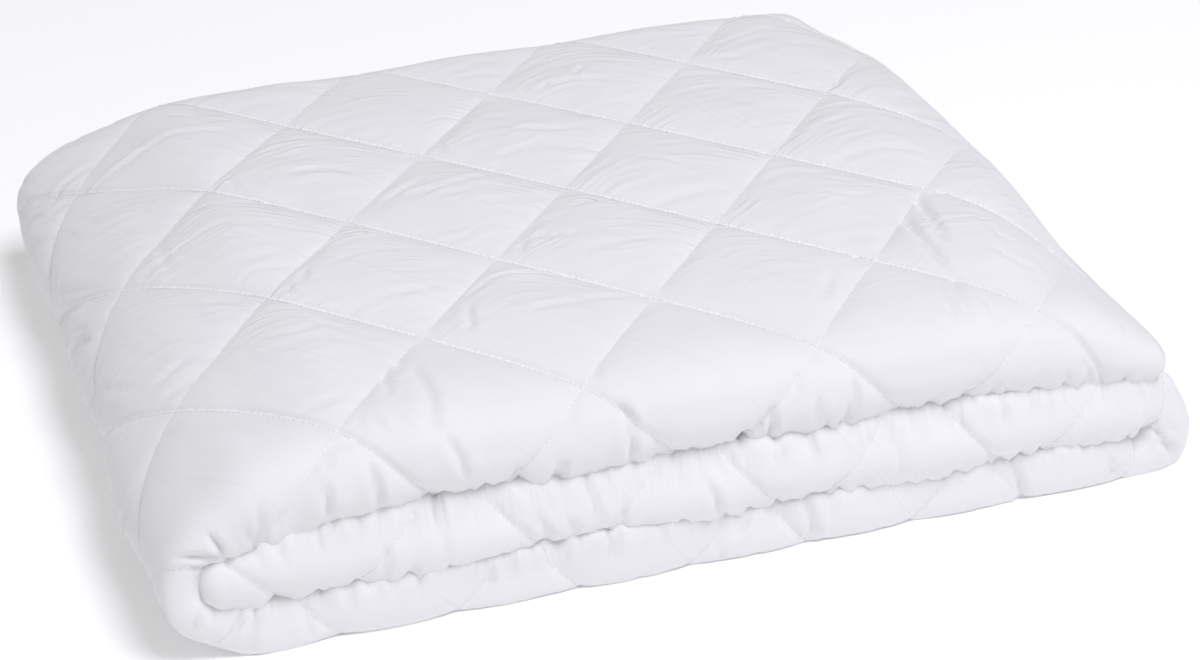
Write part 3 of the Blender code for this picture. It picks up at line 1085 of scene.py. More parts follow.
@dataclass(frozen=True)
class PlacedCreases:
    """The main creases, each at its own place."""

    quilting: Quilting
    strength: float = 1.6
    least_shown: float = 0.1
    rows: tuple[tuple, ...] = (
        # depth and width in millimetres, then u and v of each point
        # short tucks and arcs in the middle of the top
        (2.4, 2.8, (-0.5, 6.7), (-0.6, 7.1)),
        (1.8, 2.6, (0.3, 5.8), (0.25, 6.0)),
        (2.4, 2.6, (-1.8, 5.9), (-1.8, 6.05)),
        (2.2, 3.4, (-1.6, 5.7), (-1.65, 5.9)),
        (1.6, 2.4, (-1.8, 7.85), (-1.8, 8.0)),
        (1.8, 2.6, (-1.45, 7.45), (-1.5, 7.75)),
        (2.2, 3.4, (-1.3, 7.3), (-1.3, 7.45)),
        (1.4, 2.4, (0.15, 7.85), (0.15, 8.0)),
        (1.6, 2.4, (-1.45, 5.5), (-1.25, 5.3), (-1.0, 5.25), (-0.75, 5.4)),
        (1.7, 2.4, (-0.45, 6.55), (-0.2, 6.35), (0.15, 6.3), (0.5, 6.5)),
        (1.7, 2.6, (-0.15, 7.0), (0.7, 6.9), (0.9, 6.95)),
        (1.0, 3.0, (-1.25, 6.4), (-0.6, 6.35)),
        (1.6, 2.6, (-0.7, 4.75), (-0.1, 4.8), (0.55, 4.6)),
        (1.2, 2.4, (-0.45, 4.65), (-0.1, 4.5)),
        (1.3, 2.4, (0.9, 5.4), (1.3, 5.3)),
        (1.9, 2.8, (0.35, 5.75), (0.65, 5.9), (0.8, 5.9)),
        (1.4, 3.0, (-2.3, 6.55), (-1.95, 6.75), (-1.65, 6.6)),
        (1.2, 3.0, (-2.25, 7.7), (-1.8, 7.65)),
        (2.6, 4.6, (-1.25, 7.35), (-1.2, 7.8), (-1.3, 8.2)),
        (1.8, 2.8, (-1.75, 7.85), (-1.65, 8.1)),
        (1.2, 2.6, (0.3, 8.25), (0.4, 8.5)),
        # towards the back
        (2.2, 2.6, (1.4, 3.15), (1.8, 3.1), (2.2, 3.25)),
        (1.6, 2.4, (1.8, 3.1), (2.05, 2.8)),
        (1.8, 2.5, (0.75, 3.75), (1.05, 4.0), (1.5, 4.05)),
        (1.5, 2.4, (0.5, 3.5), (0.75, 3.55), (1.0, 3.7)),
        (1.8, 2.6, (1.75, 4.75), (2.1, 5.0)),
        (1.3, 2.5, (1.95, 4.6), (2.3, 4.6)),
        (1.7, 2.6, (2.7, 3.75), (2.75, 4.15), (2.95, 4.55)),
        (1.3, 2.5, (2.9, 4.2), (3.1, 4.6)),
        (1.5, 2.5, (3.2, 3.0), (3.6, 3.15)),
        (1.4, 2.5, (3.4, 2.8), (3.9, 2.65)),
        (1.3, 2.5, (4.2, 2.35), (4.55, 2.45)),
        (1.2, 2.5, (2.25, 3.8), (2.55, 3.85)),
        (1.2, 2.5, (2.7, 2.95), (2.95, 3.05)),
        (1.4, 3.0, (4.3, 3.65), (4.15, 3.95)),
        (1.5, 2.5, (0.2, 3.85), (0.2, 4.05)),
        (1.5, 2.5, (0.75, 2.65), (1.05, 2.6), (1.25, 2.7)),
        # on the right
        (3.8, 3.6, (3.85, 6.1), (3.75, 6.6), (3.7, 6.95)),
        (3.8, 3.4, (3.55, 6.45), (3.5, 6.9), (3.5, 7.35)),
        (1.7, 2.6, (4.2, 6.6), (4.15, 7.0), (4.35, 7.1)),
        (1.7, 2.6, (4.0, 7.15), (4.15, 7.45), (4.3, 7.45)),
        (1.4, 2.8, (4.45, 6.95), (4.4, 7.5)),
        (1.3, 2.5, (3.95, 6.1), (4.2, 6.1)),
        (2.8, 3.2, (3.5, 7.45), (3.35, 7.85), (3.35, 8.1)),
        (2.2, 3.0, (3.3, 7.55), (3.2, 8.05)),
        (2.0, 2.8, (3.6, 7.8), (3.6, 8.15)),
        (1.4, 2.6, (2.9, 6.8), (2.85, 7.1)),
        (1.6, 4.0, (2.55, 7.1), (2.3, 7.5)),
        (1.2, 2.6, (2.2, 8.15), (2.5, 8.15)),
        (1.0, 2.6, (2.25, 8.05), (2.6, 8.05)),
        (1.3, 2.5, (3.05, 5.9), (3.45, 6.05)),
        (1.2, 2.5, (3.95, 5.35), (4.2, 5.35)),
        (1.4, 2.6, (3.85, 4.35), (4.25, 4.4)),
        (1.2, 2.5, (3.7, 4.65), (3.95, 4.65)),
        (1.4, 2.6, (3.85, 8.65), (3.95, 8.5)),
        (1.4, 2.6, (4.3, 8.6), (4.35, 8.4)),
        (1.4, 2.6, (4.35, 8.45), (4.5, 8.7)),
        # on the left, down to the outer wrap
        (1.8, 2.6, (-2.55, 3.0), (-2.15, 2.9), (-1.7, 2.95)),
        (1.5, 2.8, (-3.15, 3.5), (-2.85, 3.5), (-2.35, 3.75)),
        (1.4, 2.6, (-2.55, 4.6), (-2.6, 4.85), (-2.6, 5.2)),
        (1.2, 2.5, (-2.75, 4.95), (-2.75, 5.1)),
        (1.8, 2.6, (-1.75, 3.85), (-1.75, 4.15)),
        (1.8, 2.4, (-1.55, 3.55), (-1.35, 3.5), (-0.9, 3.55)),
        (1.3, 2.6, (-2.25, 4.3), (-1.85, 4.4), (-1.5, 4.45)),
        (1.8, 3.0, (-3.25, 2.95), (-3.2, 2.75), (-2.7, 2.7)),
        (1.3, 2.8, (-3.4, 3.05), (-2.9, 3.05)),
        (1.4, 3.2, (-3.65, 5.1), (-3.35, 5.2)),
        (1.5, 3.0, (-3.1, 6.6), (-2.75, 6.5)),
        (1.3, 2.8, (-3.05, 6.8), (-2.75, 6.75)),
        (1.8, 6.0, (-3.95, 4.05), (-3.6, 4.2)),
        # the left front corner
        (3.2, 2.8, (-3.15, 8.4), (-3.1, 8.7)),
        (2.6, 2.6, (-3.5, 8.4), (-3.1, 8.7)),
        (1.6, 2.4, (-3.5, 8.5), (-3.4, 8.7)),
        (2.4, 2.6, (-2.7, 8.35), (-2.7, 8.75)),
        (1.8, 2.6, (-2.85, 8.5), (-2.75, 8.75)),
        (2.6, 3.0, (-4.8, 8.85), (-4.75, 8.5)),
        (2.0, 2.8, (-4.65, 8.8), (-4.55, 8.5)),
        (1.8, 2.8, (-5.25, 8.8), (-5.25, 8.55)),
        (1.8, 2.8, (-4.1, 8.65), (-4.25, 8.5)),
        # on the top layer's front
        (1.5, 2.4, (-2.15, 8.2), (-2.1, 8.3)),
        (1.0, 3.0, (-2.15, 8.15), (-1.85, 8.1)),
        (3.8, 3.2, (-1.8, 8.3), (-1.75, 8.7)),
        (3.2, 3.0, (-2.2, 8.35), (-2.15, 8.65)),
        (2.4, 3.2, (-1.2, 8.2), (-1.1, 8.4), (-1.1, 8.5)),
        (1.6, 2.8, (-1.05, 8.35), (-1.1, 8.5)),
        (1.5, 2.8, (-1.4, 7.95), (-1.3, 8.1)),
        (3.8, 3.2, (0.25, 8.15), (0.3, 8.4), (0.35, 8.75)),
        (1.2, 2.4, (-0.2, 8.2), (-0.15, 8.3)),
        (2.0, 2.6, (-0.65, 8.5), (-0.6, 8.75)),
        (2.0, 2.6, (-0.25, 8.55), (-0.25, 8.75)),
        (3.4, 3.2, (1.5, 8.4), (1.55, 8.75)),
        (1.8, 2.6, (1.4, 8.45), (1.45, 8.75)),
        (1.6, 2.6, (1.75, 8.2), (1.75, 8.4)),
        (2.2, 3.2, (1.9, 8.4), (1.95, 8.65)),
        (3.4, 3.2, (2.25, 8.3), (2.2, 8.75)),
        # on the middle layer's front
        (2.0, 3.0, (-19.55, 8.15), (-19.35, 8.35)),
        (2.6, 3.0, (-18.9, 8.25), (-18.85, 8.4), (-18.8, 8.6)),
        (2.4, 2.8, (-19.3, 8.45), (-19.2, 8.7)),
        (2.0, 2.8, (-19.05, 8.5), (-19.0, 8.7)),
        (2.2, 2.8, (-18.6, 8.45), (-18.6, 8.75)),
        (3.2, 3.0, (-17.85, 8.45), (-17.75, 8.75)),
        (2.2, 2.8, (-20.55, 8.45), (-20.55, 8.7)),
        (1.8, 2.8, (-20.1, 8.45), (-20.1, 8.6)),
        (2.2, 2.8, (-16.2, 8.45), (-16.15, 8.7)),
        (1.4, 2.6, (-16.1, 8.5), (-16.1, 8.65)),
        (1.8, 2.8, (-20.6, 8.05), (-20.5, 8.25)),
        (2.0, 2.8, (-17.2, 8.1), (-17.25, 8.3)),
        (2.0, 2.8, (-15.3, 8.1), (-15.3, 8.35)),
        # on the bottom layer's front
        (3.2, 3.4, (-7.8, 8.9), (-7.75, 8.7)),
        (2.4, 2.8, (-6.7, 8.9), (-6.75, 8.65)),
        (2.2, 2.8, (-8.9, 8.9), (-8.9, 8.65)),
        (1.8, 2.8, (-8.7, 8.65), (-8.75, 8.5)),
        (3.4, 3.0, (-9.45, 8.85), (-9.55, 8.65), (-9.55, 8.5)),
        (3.4, 3.0, (-11.35, 8.85), (-11.45, 8.65), (-11.5, 8.45)),
        (1.8, 2.8, (-12.15, 8.85), (-12.2, 8.7)),
        (2.2, 2.8, (-12.25, 8.7), (-12.35, 8.55)),
        (2.8, 3.0, (-5.55, 8.9), (-5.6, 8.7)),
        # in the pocket of the right turn
        (1.8, 2.8, (-13.45, 8.55), (-13.3, 8.5)),
        (2.6, 3.0, (-13.75, 8.75), (-13.1, 8.65), (-13.0, 8.45)),
        (1.8, 2.8, (-13.45, 8.65), (-13.2, 8.55)),
        (1.8, 2.8, (-13.25, 8.55), (-13.15, 8.45)),
        (2.6, 3.0, (-13.05, 8.65), (-12.95, 8.4)),
    )

    def relief(self, spot: Spot) -> Array:
        """Sum of the creases, where the cloth shows.

        Args:
            spot: the points of the pad.

        Returns:
            Heights in metres.
        """
        scale = np.array((self.quilting.half_x, self.quilting.half_y))
        x, y = spot.u * scale[0], spot.v * scale[1]
        total = np.zeros_like(spot.u)
        for depth, width, *points in self.rows:
            Crease(depth, width, tuple(points)).add_to(total, x, y, scale)
        return self.strength * total * smooth(spot.shown / self.least_shown)


@dataclass(frozen=True)
class HemSeam:
    """The stitched line of the narrow turned hem along the pad's edges."""

    quilting: Quilting
    inset: float = 8 * MM
    end_inset: float = 26 * MM
    depth: float = 1.3 * MM
    width: float = 2.2 * MM

    def relief(self, spot: Spot) -> Array:
        """Bell-shaped grooves at the seam's distance from the edges, wider at the upper end.

        Args:
            spot: the points of the pad.

        Returns:
            Heights in metres.
        """
        edge = self.quilting.edge_distance(spot.u, spot.v)
        end = (self.quilting.u_ends[1] - spot.u) * self.quilting.half_x
        sides = bell((edge - self.inset) / self.width) * smooth((end - self.inset) / self.inset)
        across = bell((end - self.end_inset) / self.width)
        return -self.depth * np.maximum(sides, across) * spot.shown


# ---- Mesh --------------------------------------------------------------------
@dataclass(frozen=True)
class GradedGrid:
    """A grid of square cells on the flat pad, some of them split evenly into fine ones."""

    quilting: Quilting
    cell: float = 0.25
    split: int = 6

    @property
    def rows(self) -> int:
        """Number of cells along the pad."""
        return round((self.quilting.u_ends[1] - self.quilting.u_ends[0]) / self.cell)

    @property
    def columns(self) -> int:
        """Number of cells across the pad."""
        return round((self.quilting.v_edges[1] - self.quilting.v_edges[0]) / self.cell)

    @property
    def width(self) -> int:
        """Number of fine points across the pad."""
        return self.columns * self.split + 1

    def middles(self) -> tuple[Array, Array]:
        """u and v of the cells' middles, as two arrays of rows by columns.

        Returns:
            The two arrays.
        """
        u = self.quilting.u_ends[0] + self.cell * (np.arange(self.rows) + 0.5)
        v = self.quilting.v_edges[0] + self.cell * (np.arange(self.columns) + 0.5)
        return np.meshgrid(u, v, indexing="ij")

    def place(self, keys: Array) -> tuple[Array, Array]:
        """u and v of numbered fine points.

        Args:
            keys: the points' numbers.

        Returns:
            u, then v.
        """
        step = self.cell / self.split
        u = self.quilting.u_ends[0] + step * (keys // self.width)
        return u, self.quilting.v_edges[0] + step * (keys % self.width)

    def fine_faces(self, fine: Array) -> Array:
        """Triangles of the split cells, with their diagonals along the nearer seams.

        Args:
            fine: True for each cell that is split.

        Returns:
            The points' numbers, three for each triangle.
        """
        cell_i, cell_j = np.nonzero(fine)
        steps = np.arange(self.split)
        i = (cell_i[:, None, None] * self.split + steps[:, None]) + 0 * steps
        j = (cell_j[:, None, None] * self.split + steps) + 0 * steps[:, None]
        first = (i * self.width + j).ravel()
        right, far, beyond = first + self.width, first + 1, first + self.width + 1
        u, v = self.place(first)
        half = self.cell / self.split / 2
        steep = np.abs(np.sin(math.pi * (u + v + 2 * half) / 2))
        shallow = np.abs(np.sin(math.pi * (u - v) / 2))
        rising = shallow < steep
        one = np.stack((first, right, np.where(rising, beyond, far)), -1)
        two = np.stack((np.where(rising, first, right), beyond, far), -1)
        return np.concatenate((one, two))

    def plain_faces(self, fine: Array) -> tuple[Array, Array]:
        """Polygons of the cells that aren't split.

        An edge shared with a split cell, or on the pad's border, takes that side's fine points.

        Args:
            fine: True for each cell that is split.

        Returns:
            The points' numbers one after another, and how many each polygon has.
        """
        n = self.split
        around = np.pad(fine, 1, constant_values=True)
        cell_i, cell_j = np.nonzero(~fine)
        steps = np.arange(n)
        sides = (
            (steps, 0 * steps, around[cell_i + 1, cell_j]),
            (0 * steps + n, steps, around[cell_i + 2, cell_j + 1]),
            (n - steps, 0 * steps + n, around[cell_i + 1, cell_j + 2]),
            (0 * steps, n - steps, around[cell_i, cell_j + 1]),
        )
        rings, kept = [], []
        for di, dj, beside in sides:
            rings.append((cell_i[:, None] * n + di) * self.width + cell_j[:, None] * n + dj)
            kept.append(beside[:, None] | (steps == 0))
        ring, keep = np.concatenate(rings, 1), np.concatenate(kept, 1)
        return ring[keep], keep.sum(1)

    def border(self) -> Array:
        """Numbers of the points round the pad's border, in the order of the faces' corners.

        Returns:
            The numbers, once round.
        """
        last_i, last_j = self.rows * self.split, self.width - 1
        i, j = np.arange(last_i), np.arange(last_j)
        return np.concatenate((
            i * self.width,
            last_i * self.width + j,
            (last_i - i) * self.width + last_j,
            last_j - j,
        ))


@dataclass(frozen=True)
class QuiltedPad:
    """The folded pad: one closed, padded piece."""

    strip: FoldedStrip = FoldedStrip()
    front_v: Pair = (8.0, 9.25)
    turn_margin: float = 0.25
    border_rings: int = 3
    border_bulge: float = 0.75
    border_inset: float = 0.05
    on_seam: float = 0.001
    least_shown: float = 0.1

    @property
    def quilting(self) -> Quilting:
        """The pad's quilting."""
        return self.strip.quilting

    def relief(self, spot: Spot) -> Array:
        """Height of the cloth over the plain folded form, in metres, at each point.

        Args:
            spot: the points of the pad.

        Returns:
            Heights in metres.
        """
        of_quilting = (Puffs, Wrinkles, Ripples, Tucks, CrossingPuckers, PlacedCreases, HemSeam)
        of_folds = (WrapWrinkles, FoldLips, FrontPuckers)
        height = sum(part(self.quilting).relief(spot) for part in of_quilting)
        height += sum(part(self.strip).relief(spot) for part in of_folds)
        edge = self.quilting.edge_distance(spot.u, spot.v) / self.quilting.half_y
        return height * rounded(edge / self.strip.hem_length)

    def surface(self, u: Array, v: Array, outer: bool, relief: bool = True) -> Array:
        """World points of one face of the pad.

        Args:
            u, v: the points, in half diamonds.
            outer: True for the outer face, False for the inner one.
            relief: False for the plain folded form.

        Returns:
            The points, as an array of rows x, y, z in metres.
        """
        spot = self.strip.spot(u, v)
        height = self.relief(spot) if outer and relief else np.zeros_like(u)
        return self.strip.place(spot, outer, height)

    def fine_cells(self, grid: GradedGrid, outer: bool) -> Array:
        """True for each cell that is split: what shows of the outer face, and its border.

        Args:
            grid: the pad's grid.
            outer: True for the outer face, False for the inner one.

        Returns:
            The cells, as rows by columns.
        """
        u, v = grid.middles()
        fine = np.zeros(u.shape, dtype=bool)
        if outer:
            right_start, right_end, left_start, _ = self.strip.turns()
            front_start, front_end = self.front_v
            round_turn = (u > right_start - self.turn_margin) & (u < right_end + self.turn_margin)
            fine |= ((u > left_start) | (v > front_start) | round_turn) & (v < front_end)
            fine[0, :] = fine[-1, :] = True
            fine[:, 0] = fine[:, -1] = True
        return fine

    def side(self, grid: GradedGrid, outer: bool) -> tuple[Array, Array, Array]:
        """The grid points and the faces of one face of the pad.

        Args:
            grid: the grid on the flat pad.
            outer: True for the outer face, False for the inner one.

        Returns:
            The grid's numbers of the points, the faces' corners as places in that list, one
            face after another, and how many corners each face has. They point out.
        """
        fine = self.fine_cells(grid, outer)
        triangles = grid.fine_faces(fine)
        ring, ring_sizes = grid.plain_faces(fine)
        keys, loops = np.unique(np.concatenate((triangles.ravel(), ring)), return_inverse=True)
        sizes = np.concatenate((np.full(len(triangles), 3), ring_sizes))
        return keys, reversed_faces(loops, sizes) if outer else loops, sizes

    def border_points(self, u: Array, v: Array) -> list[Array]:
        """Rings of points that round the pad's edge between its two faces.

        Each ring is at an angle of a half ellipse: its axes are half the ply's thickness and the
        bulge, which points away from the pad along its middle surface.

        Args:
            u, v: the border, in half diamonds.

        Returns:
            One array of points for each ring, from the outer face to the inner one.
        """
        inset_u, inset_v = (
            np.clip(values, low + self.border_inset, high - self.border_inset)
            for values, (low, high) in ((u, self.quilting.u_ends), (v, self.quilting.v_edges)))
        outer, inner = self.surface(u, v, True), self.surface(u, v, False)
        middle, half = (outer + inner) / 2, (outer - inner) / 2
        within = sum(self.surface(inset_u, inset_v, face, False) for face in (True, False)) / 2
        thickness = np.linalg.norm(half, axis=1, keepdims=True)
        across = half / thickness
        away = middle - within
        away -= (away * across).sum(1, keepdims=True) * across
        bulge = unit(away) * self.border_bulge * thickness
        turns = math.pi * np.arange(1, self.border_rings + 1) / (self.border_rings + 1)
        return [middle + half * math.cos(t) + bulge * math.sin(t) for t in turns]

    def build(self) -> bpy.types.Object:
        """The pad as one closed mesh, with its flat coordinates in metres as its UV map.

        Returns:
            The pad's object.
        """
        grid = GradedGrid(self.quilting)
        border_keys = grid.border()
        points, flat, shown, gathers, loops, sizes, rings = [], [], [], [], [], [], []
        count = 0
        for outer in (True, False):
            keys, side_loops, side_sizes = self.side(grid, outer)
            u, v = grid.place(keys)
            spot = self.strip.spot(u, v)
            points.append(self.surface(u, v, outer))
            flat.append(np.stack((u, v), -1))
            shown.append(spot.shown * outer)
            gathers.append(FrontPuckers(self.strip).gathers(spot) * outer)
            loops.append(side_loops + count)
            sizes.append(side_sizes)
            rings.append(np.searchsorted(keys, border_keys) + count)
            count += len(keys)
        u, v = grid.place(border_keys)
        for ring_points in self.border_points(u, v):
            rings.insert(-1, np.arange(len(u)) + count)
            points.append(ring_points)
            flat.append(np.stack((u, v), -1))
            shown.append(np.zeros_like(u))
            gathers.append(np.zeros_like(u))
            count += len(u)
        for one, two in zip(rings, rings[1:]):
            faces = np.stack((one, np.roll(one, -1), np.roll(two, -1), two), -1)
            loops.append(faces.ravel())
            sizes.append(np.full(len(faces), 4))
        points, flat, shown, gathers, loops, sizes = (
            np.concatenate(each) for each in (points, flat, shown, gathers, loops, sizes))
        scale = (self.quilting.half_x, self.quilting.half_y)
        piece = mesh_object("quilted_pad_cloth", points, loops, sizes, flat * scale)
        for name, values in (("shown", shown), ("gathers", gathers)):
            attribute = piece.data.attributes.new(name, "FLOAT", "POINT")
            attribute.data.foreach_set("value", values.astype(np.float32))
        self.crease_seams(piece.data, flat, shown)
        return piece

    def crease_seams(self, mesh: bpy.types.Mesh, flat: Array, shown: Array) -> None:
        """Mark the edges that lie on a seam as sharp, so that the seams are crisp valleys.

        Args:
            mesh: the pad's mesh.
            flat: u and v of each of its points.
            shown: how much of the quilting shows at each point.
        """
        ends = np.zeros(2 * len(mesh.edges), np.int32)
        mesh.edges.foreach_get("vertices", ends)
        one, two = flat[ends[::2]], flat[ends[1::2]]
        step = two - one
        middle = (one + two) / 2
        sharp = np.zeros(len(step), bool)
        for sign in (1.0, -1.0):
            line = (middle[:, 0] * sign + middle[:, 1]) / 2
            on_line = np.abs(line - np.round(line)) < self.on_seam
            sharp |= on_line & (np.abs(step[:, 0] * sign + step[:, 1]) < self.on_seam)
        sharp &= (np.abs(step).sum(1) > self.on_seam) & (shown[ends[::2]] > self.least_shown)
        mesh.attributes.new("sharp_edge", "BOOLEAN", "EDGE").data.foreach_set("value", sharp)


@dataclass(frozen=True)
class Stitching:
    """The stitches along the seams that show, as one joined mesh."""

    pad: QuiltedPad
    pitch: float = 3.4 * MM
    length: float = 3.3 * MM
    thickness: float = 0.50 * MM
    rise: float = 0.28 * MM
    dip: float = 0.12 * MM
    sides: int = 5
    least_shown: float = 0.2
    rings: tuple[float, ...] = (-1.0, -0.6, 0.0, 0.6, 1.0)
    slope_step: float = 0.01

    def seam_places(self) -> tuple[Array, Array, Array]:
        """Middle of each stitch and the seam's direction there.

        Returns:
            u and v of the middles, and the sign of dv for a rising u, 1 or -1.
        """
        quilting = self.pad.quilting
        (u0, u1), (v0, v1) = quilting.u_ends, quilting.v_edges
        step = self.pitch / math.hypot(quilting.half_x, quilting.half_y)
        along = np.arange(u0 + step, u1, step)
        lines_u, lines_v, signs = [], [], []
        for sign, low, high in ((-1, u0 + v0, u1 + v1), (1, v0 - u1, v1 - u0)):
            line = 2 * np.arange(math.ceil(low / 2), math.floor(high / 2) + 1)
            u, level = np.meshgrid(along, line)
            lines_u.append(u.ravel())
            lines_v.append((level + sign * u).ravel())
            signs.append(np.full(u.size, sign))
        u, v, sign = (np.concatenate(part) for part in (lines_u, lines_v, signs))
        inside = (v > v0 + step) & (v < v1 - step)
        u, v, sign = u[inside], v[inside], sign[inside]
        kept = self.pad.strip.spot(u, v).shown > self.least_shown
        return u[kept], v[kept], sign[kept]

    def directions(self, u: Array, v: Array, sign: Array) -> tuple[Array, Array]:
        """The plain form's normal at each stitch, and the direction across the stitch.

        Args:
            u, v: the stitches' places, in half diamonds.
            sign: which way each stitch's seam runs, 1 or -1.

        Returns:
            Two arrays of unit rows.
        """
        near = self.slope_step
        east = self.pad.surface(u + near, v, True, False) - self.pad.surface(u - near, v, True, False)
        south = self.pad.surface(u, v + near, True, False) - self.pad.surface(u, v - near, True, False)
        normal = unit(np.cross(south, east))
        return normal, unit(np.cross(normal, east + sign[:, None] * south))

    def faces(self) -> tuple[list[int], list[int]]:
        """The corners of one stitch's faces, one after another, and how many each face has.

        Returns:
            The corners and the counts.
        """
        last = 1 + (len(self.rings) - 2) * self.sides
        corners, sizes = [], []
        for k in range(self.sides):
            other = (k + 1) % self.sides
            corners += [0, 1 + other, 1 + k]
            sizes.append(3)
            for near in range(1, last - self.sides, self.sides):
                far = near + self.sides
                corners += [near + k, near + other, far + other, far + k]
                sizes.append(4)
            corners += [last - self.sides + k, last - self.sides + other, last]
            sizes.append(3)
        return corners, sizes

    def build(self) -> bpy.types.Object:
        """The stitches: each is a tube along the seam whose two ends dip into the cloth.

        A ring's centre stands over the cloth by the rise, less the rise and dip times the
        fourth power of its place from the middle, and its radius is the thread's own times the
        square root of one less that place squared.

        Returns:
            The stitches' object.
        """
        quilting = self.pad.quilting
        u, v, sign = self.seam_places()
        normal, aside = self.directions(u, v, sign)
        half = self.length / 2 / math.hypot(quilting.half_x, quilting.half_y)
        turns = 2 * math.pi * np.arange(self.sides) / self.sides
        points = []
        for place in self.rings:
            centre = self.pad.surface(u + half * place, v + sign * half * place, True)
            centre = centre + (self.rise - (self.rise + self.dip) * place ** 4) * normal
            radius = self.thickness / 2 * math.sqrt(max(1 - place ** 2, 0.0))
            for turn in turns if radius > 0 else turns[:1]:
                points.append(centre + radius * (math.cos(turn) * aside + math.sin(turn) * normal))
        corners, sizes = self.faces()
        loops = np.array(corners) + len(points) * np.arange(len(u))[:, None]
        points = np.stack(points, 1).reshape(-1, 3)
        points[:, 2] = np.maximum(points[:, 2], 0.0)
        return mesh_object("seam_stitches", points, loops.ravel(), np.tile(sizes, len(u)))


def reversed_faces(loops: Array, sizes: Array) -> Array:
    """The corners of each face in the opposite order.

    Args:
        loops: the points' numbers of all faces, one after another.
        sizes: how many corners each face has.

    Returns:
        The points' numbers in their new order.
    """
    starts = np.cumsum(sizes) - sizes
    within = np.arange(len(loops)) - np.repeat(starts, sizes)
    return loops[np.repeat(starts + sizes - 1, sizes) - within]


def mesh_object(
    name: str, points: Array, loops: Array, sizes: Array, flat: Array | None = None,
) -> bpy.types.Object:
    """A smooth-shaded mesh object at the origin.

    Args:
        name: the object's name.
        points: rows of x, y, z in metres.
        loops: the points' numbers of all faces, one after another.
        sizes: how many corners each face has.
        flat: each point's place in the UV map, or None for no map.

    Returns:
        The object.
    """
    mesh = bpy.data.meshes.new(name)
    mesh.vertices.add(len(points))
    mesh.vertices.foreach_set("co", points.astype(np.float32).ravel())
    mesh.loops.add(len(loops))
    mesh.loops.foreach_set("vertex_index", loops.astype(np.int32))
    mesh.polygons.add(len(sizes))
    mesh.polygons.foreach_set("loop_start", (np.cumsum(sizes) - sizes).astype(np.int32))
    mesh.update(calc_edges=True)
    mesh.validate()
    mesh.shade_smooth()
    if flat is not None:
        corners = np.zeros(len(mesh.loops), np.int32)
        mesh.loops.foreach_get("vertex_index", corners)
        mesh.uv_layers.new(name="flat_cloth").data.foreach_set(
            "uv", flat[corners].astype(np.float32).ravel())
    piece = bpy.data.objects.new(name, mesh)
    bpy.context.scene.collection.objects.link(piece)
    return piece


# ---- Finishes ----------------------------------------------------------------
Socket = bpy.types.NodeSocket
Value = bpy.types.NodeSocket | float


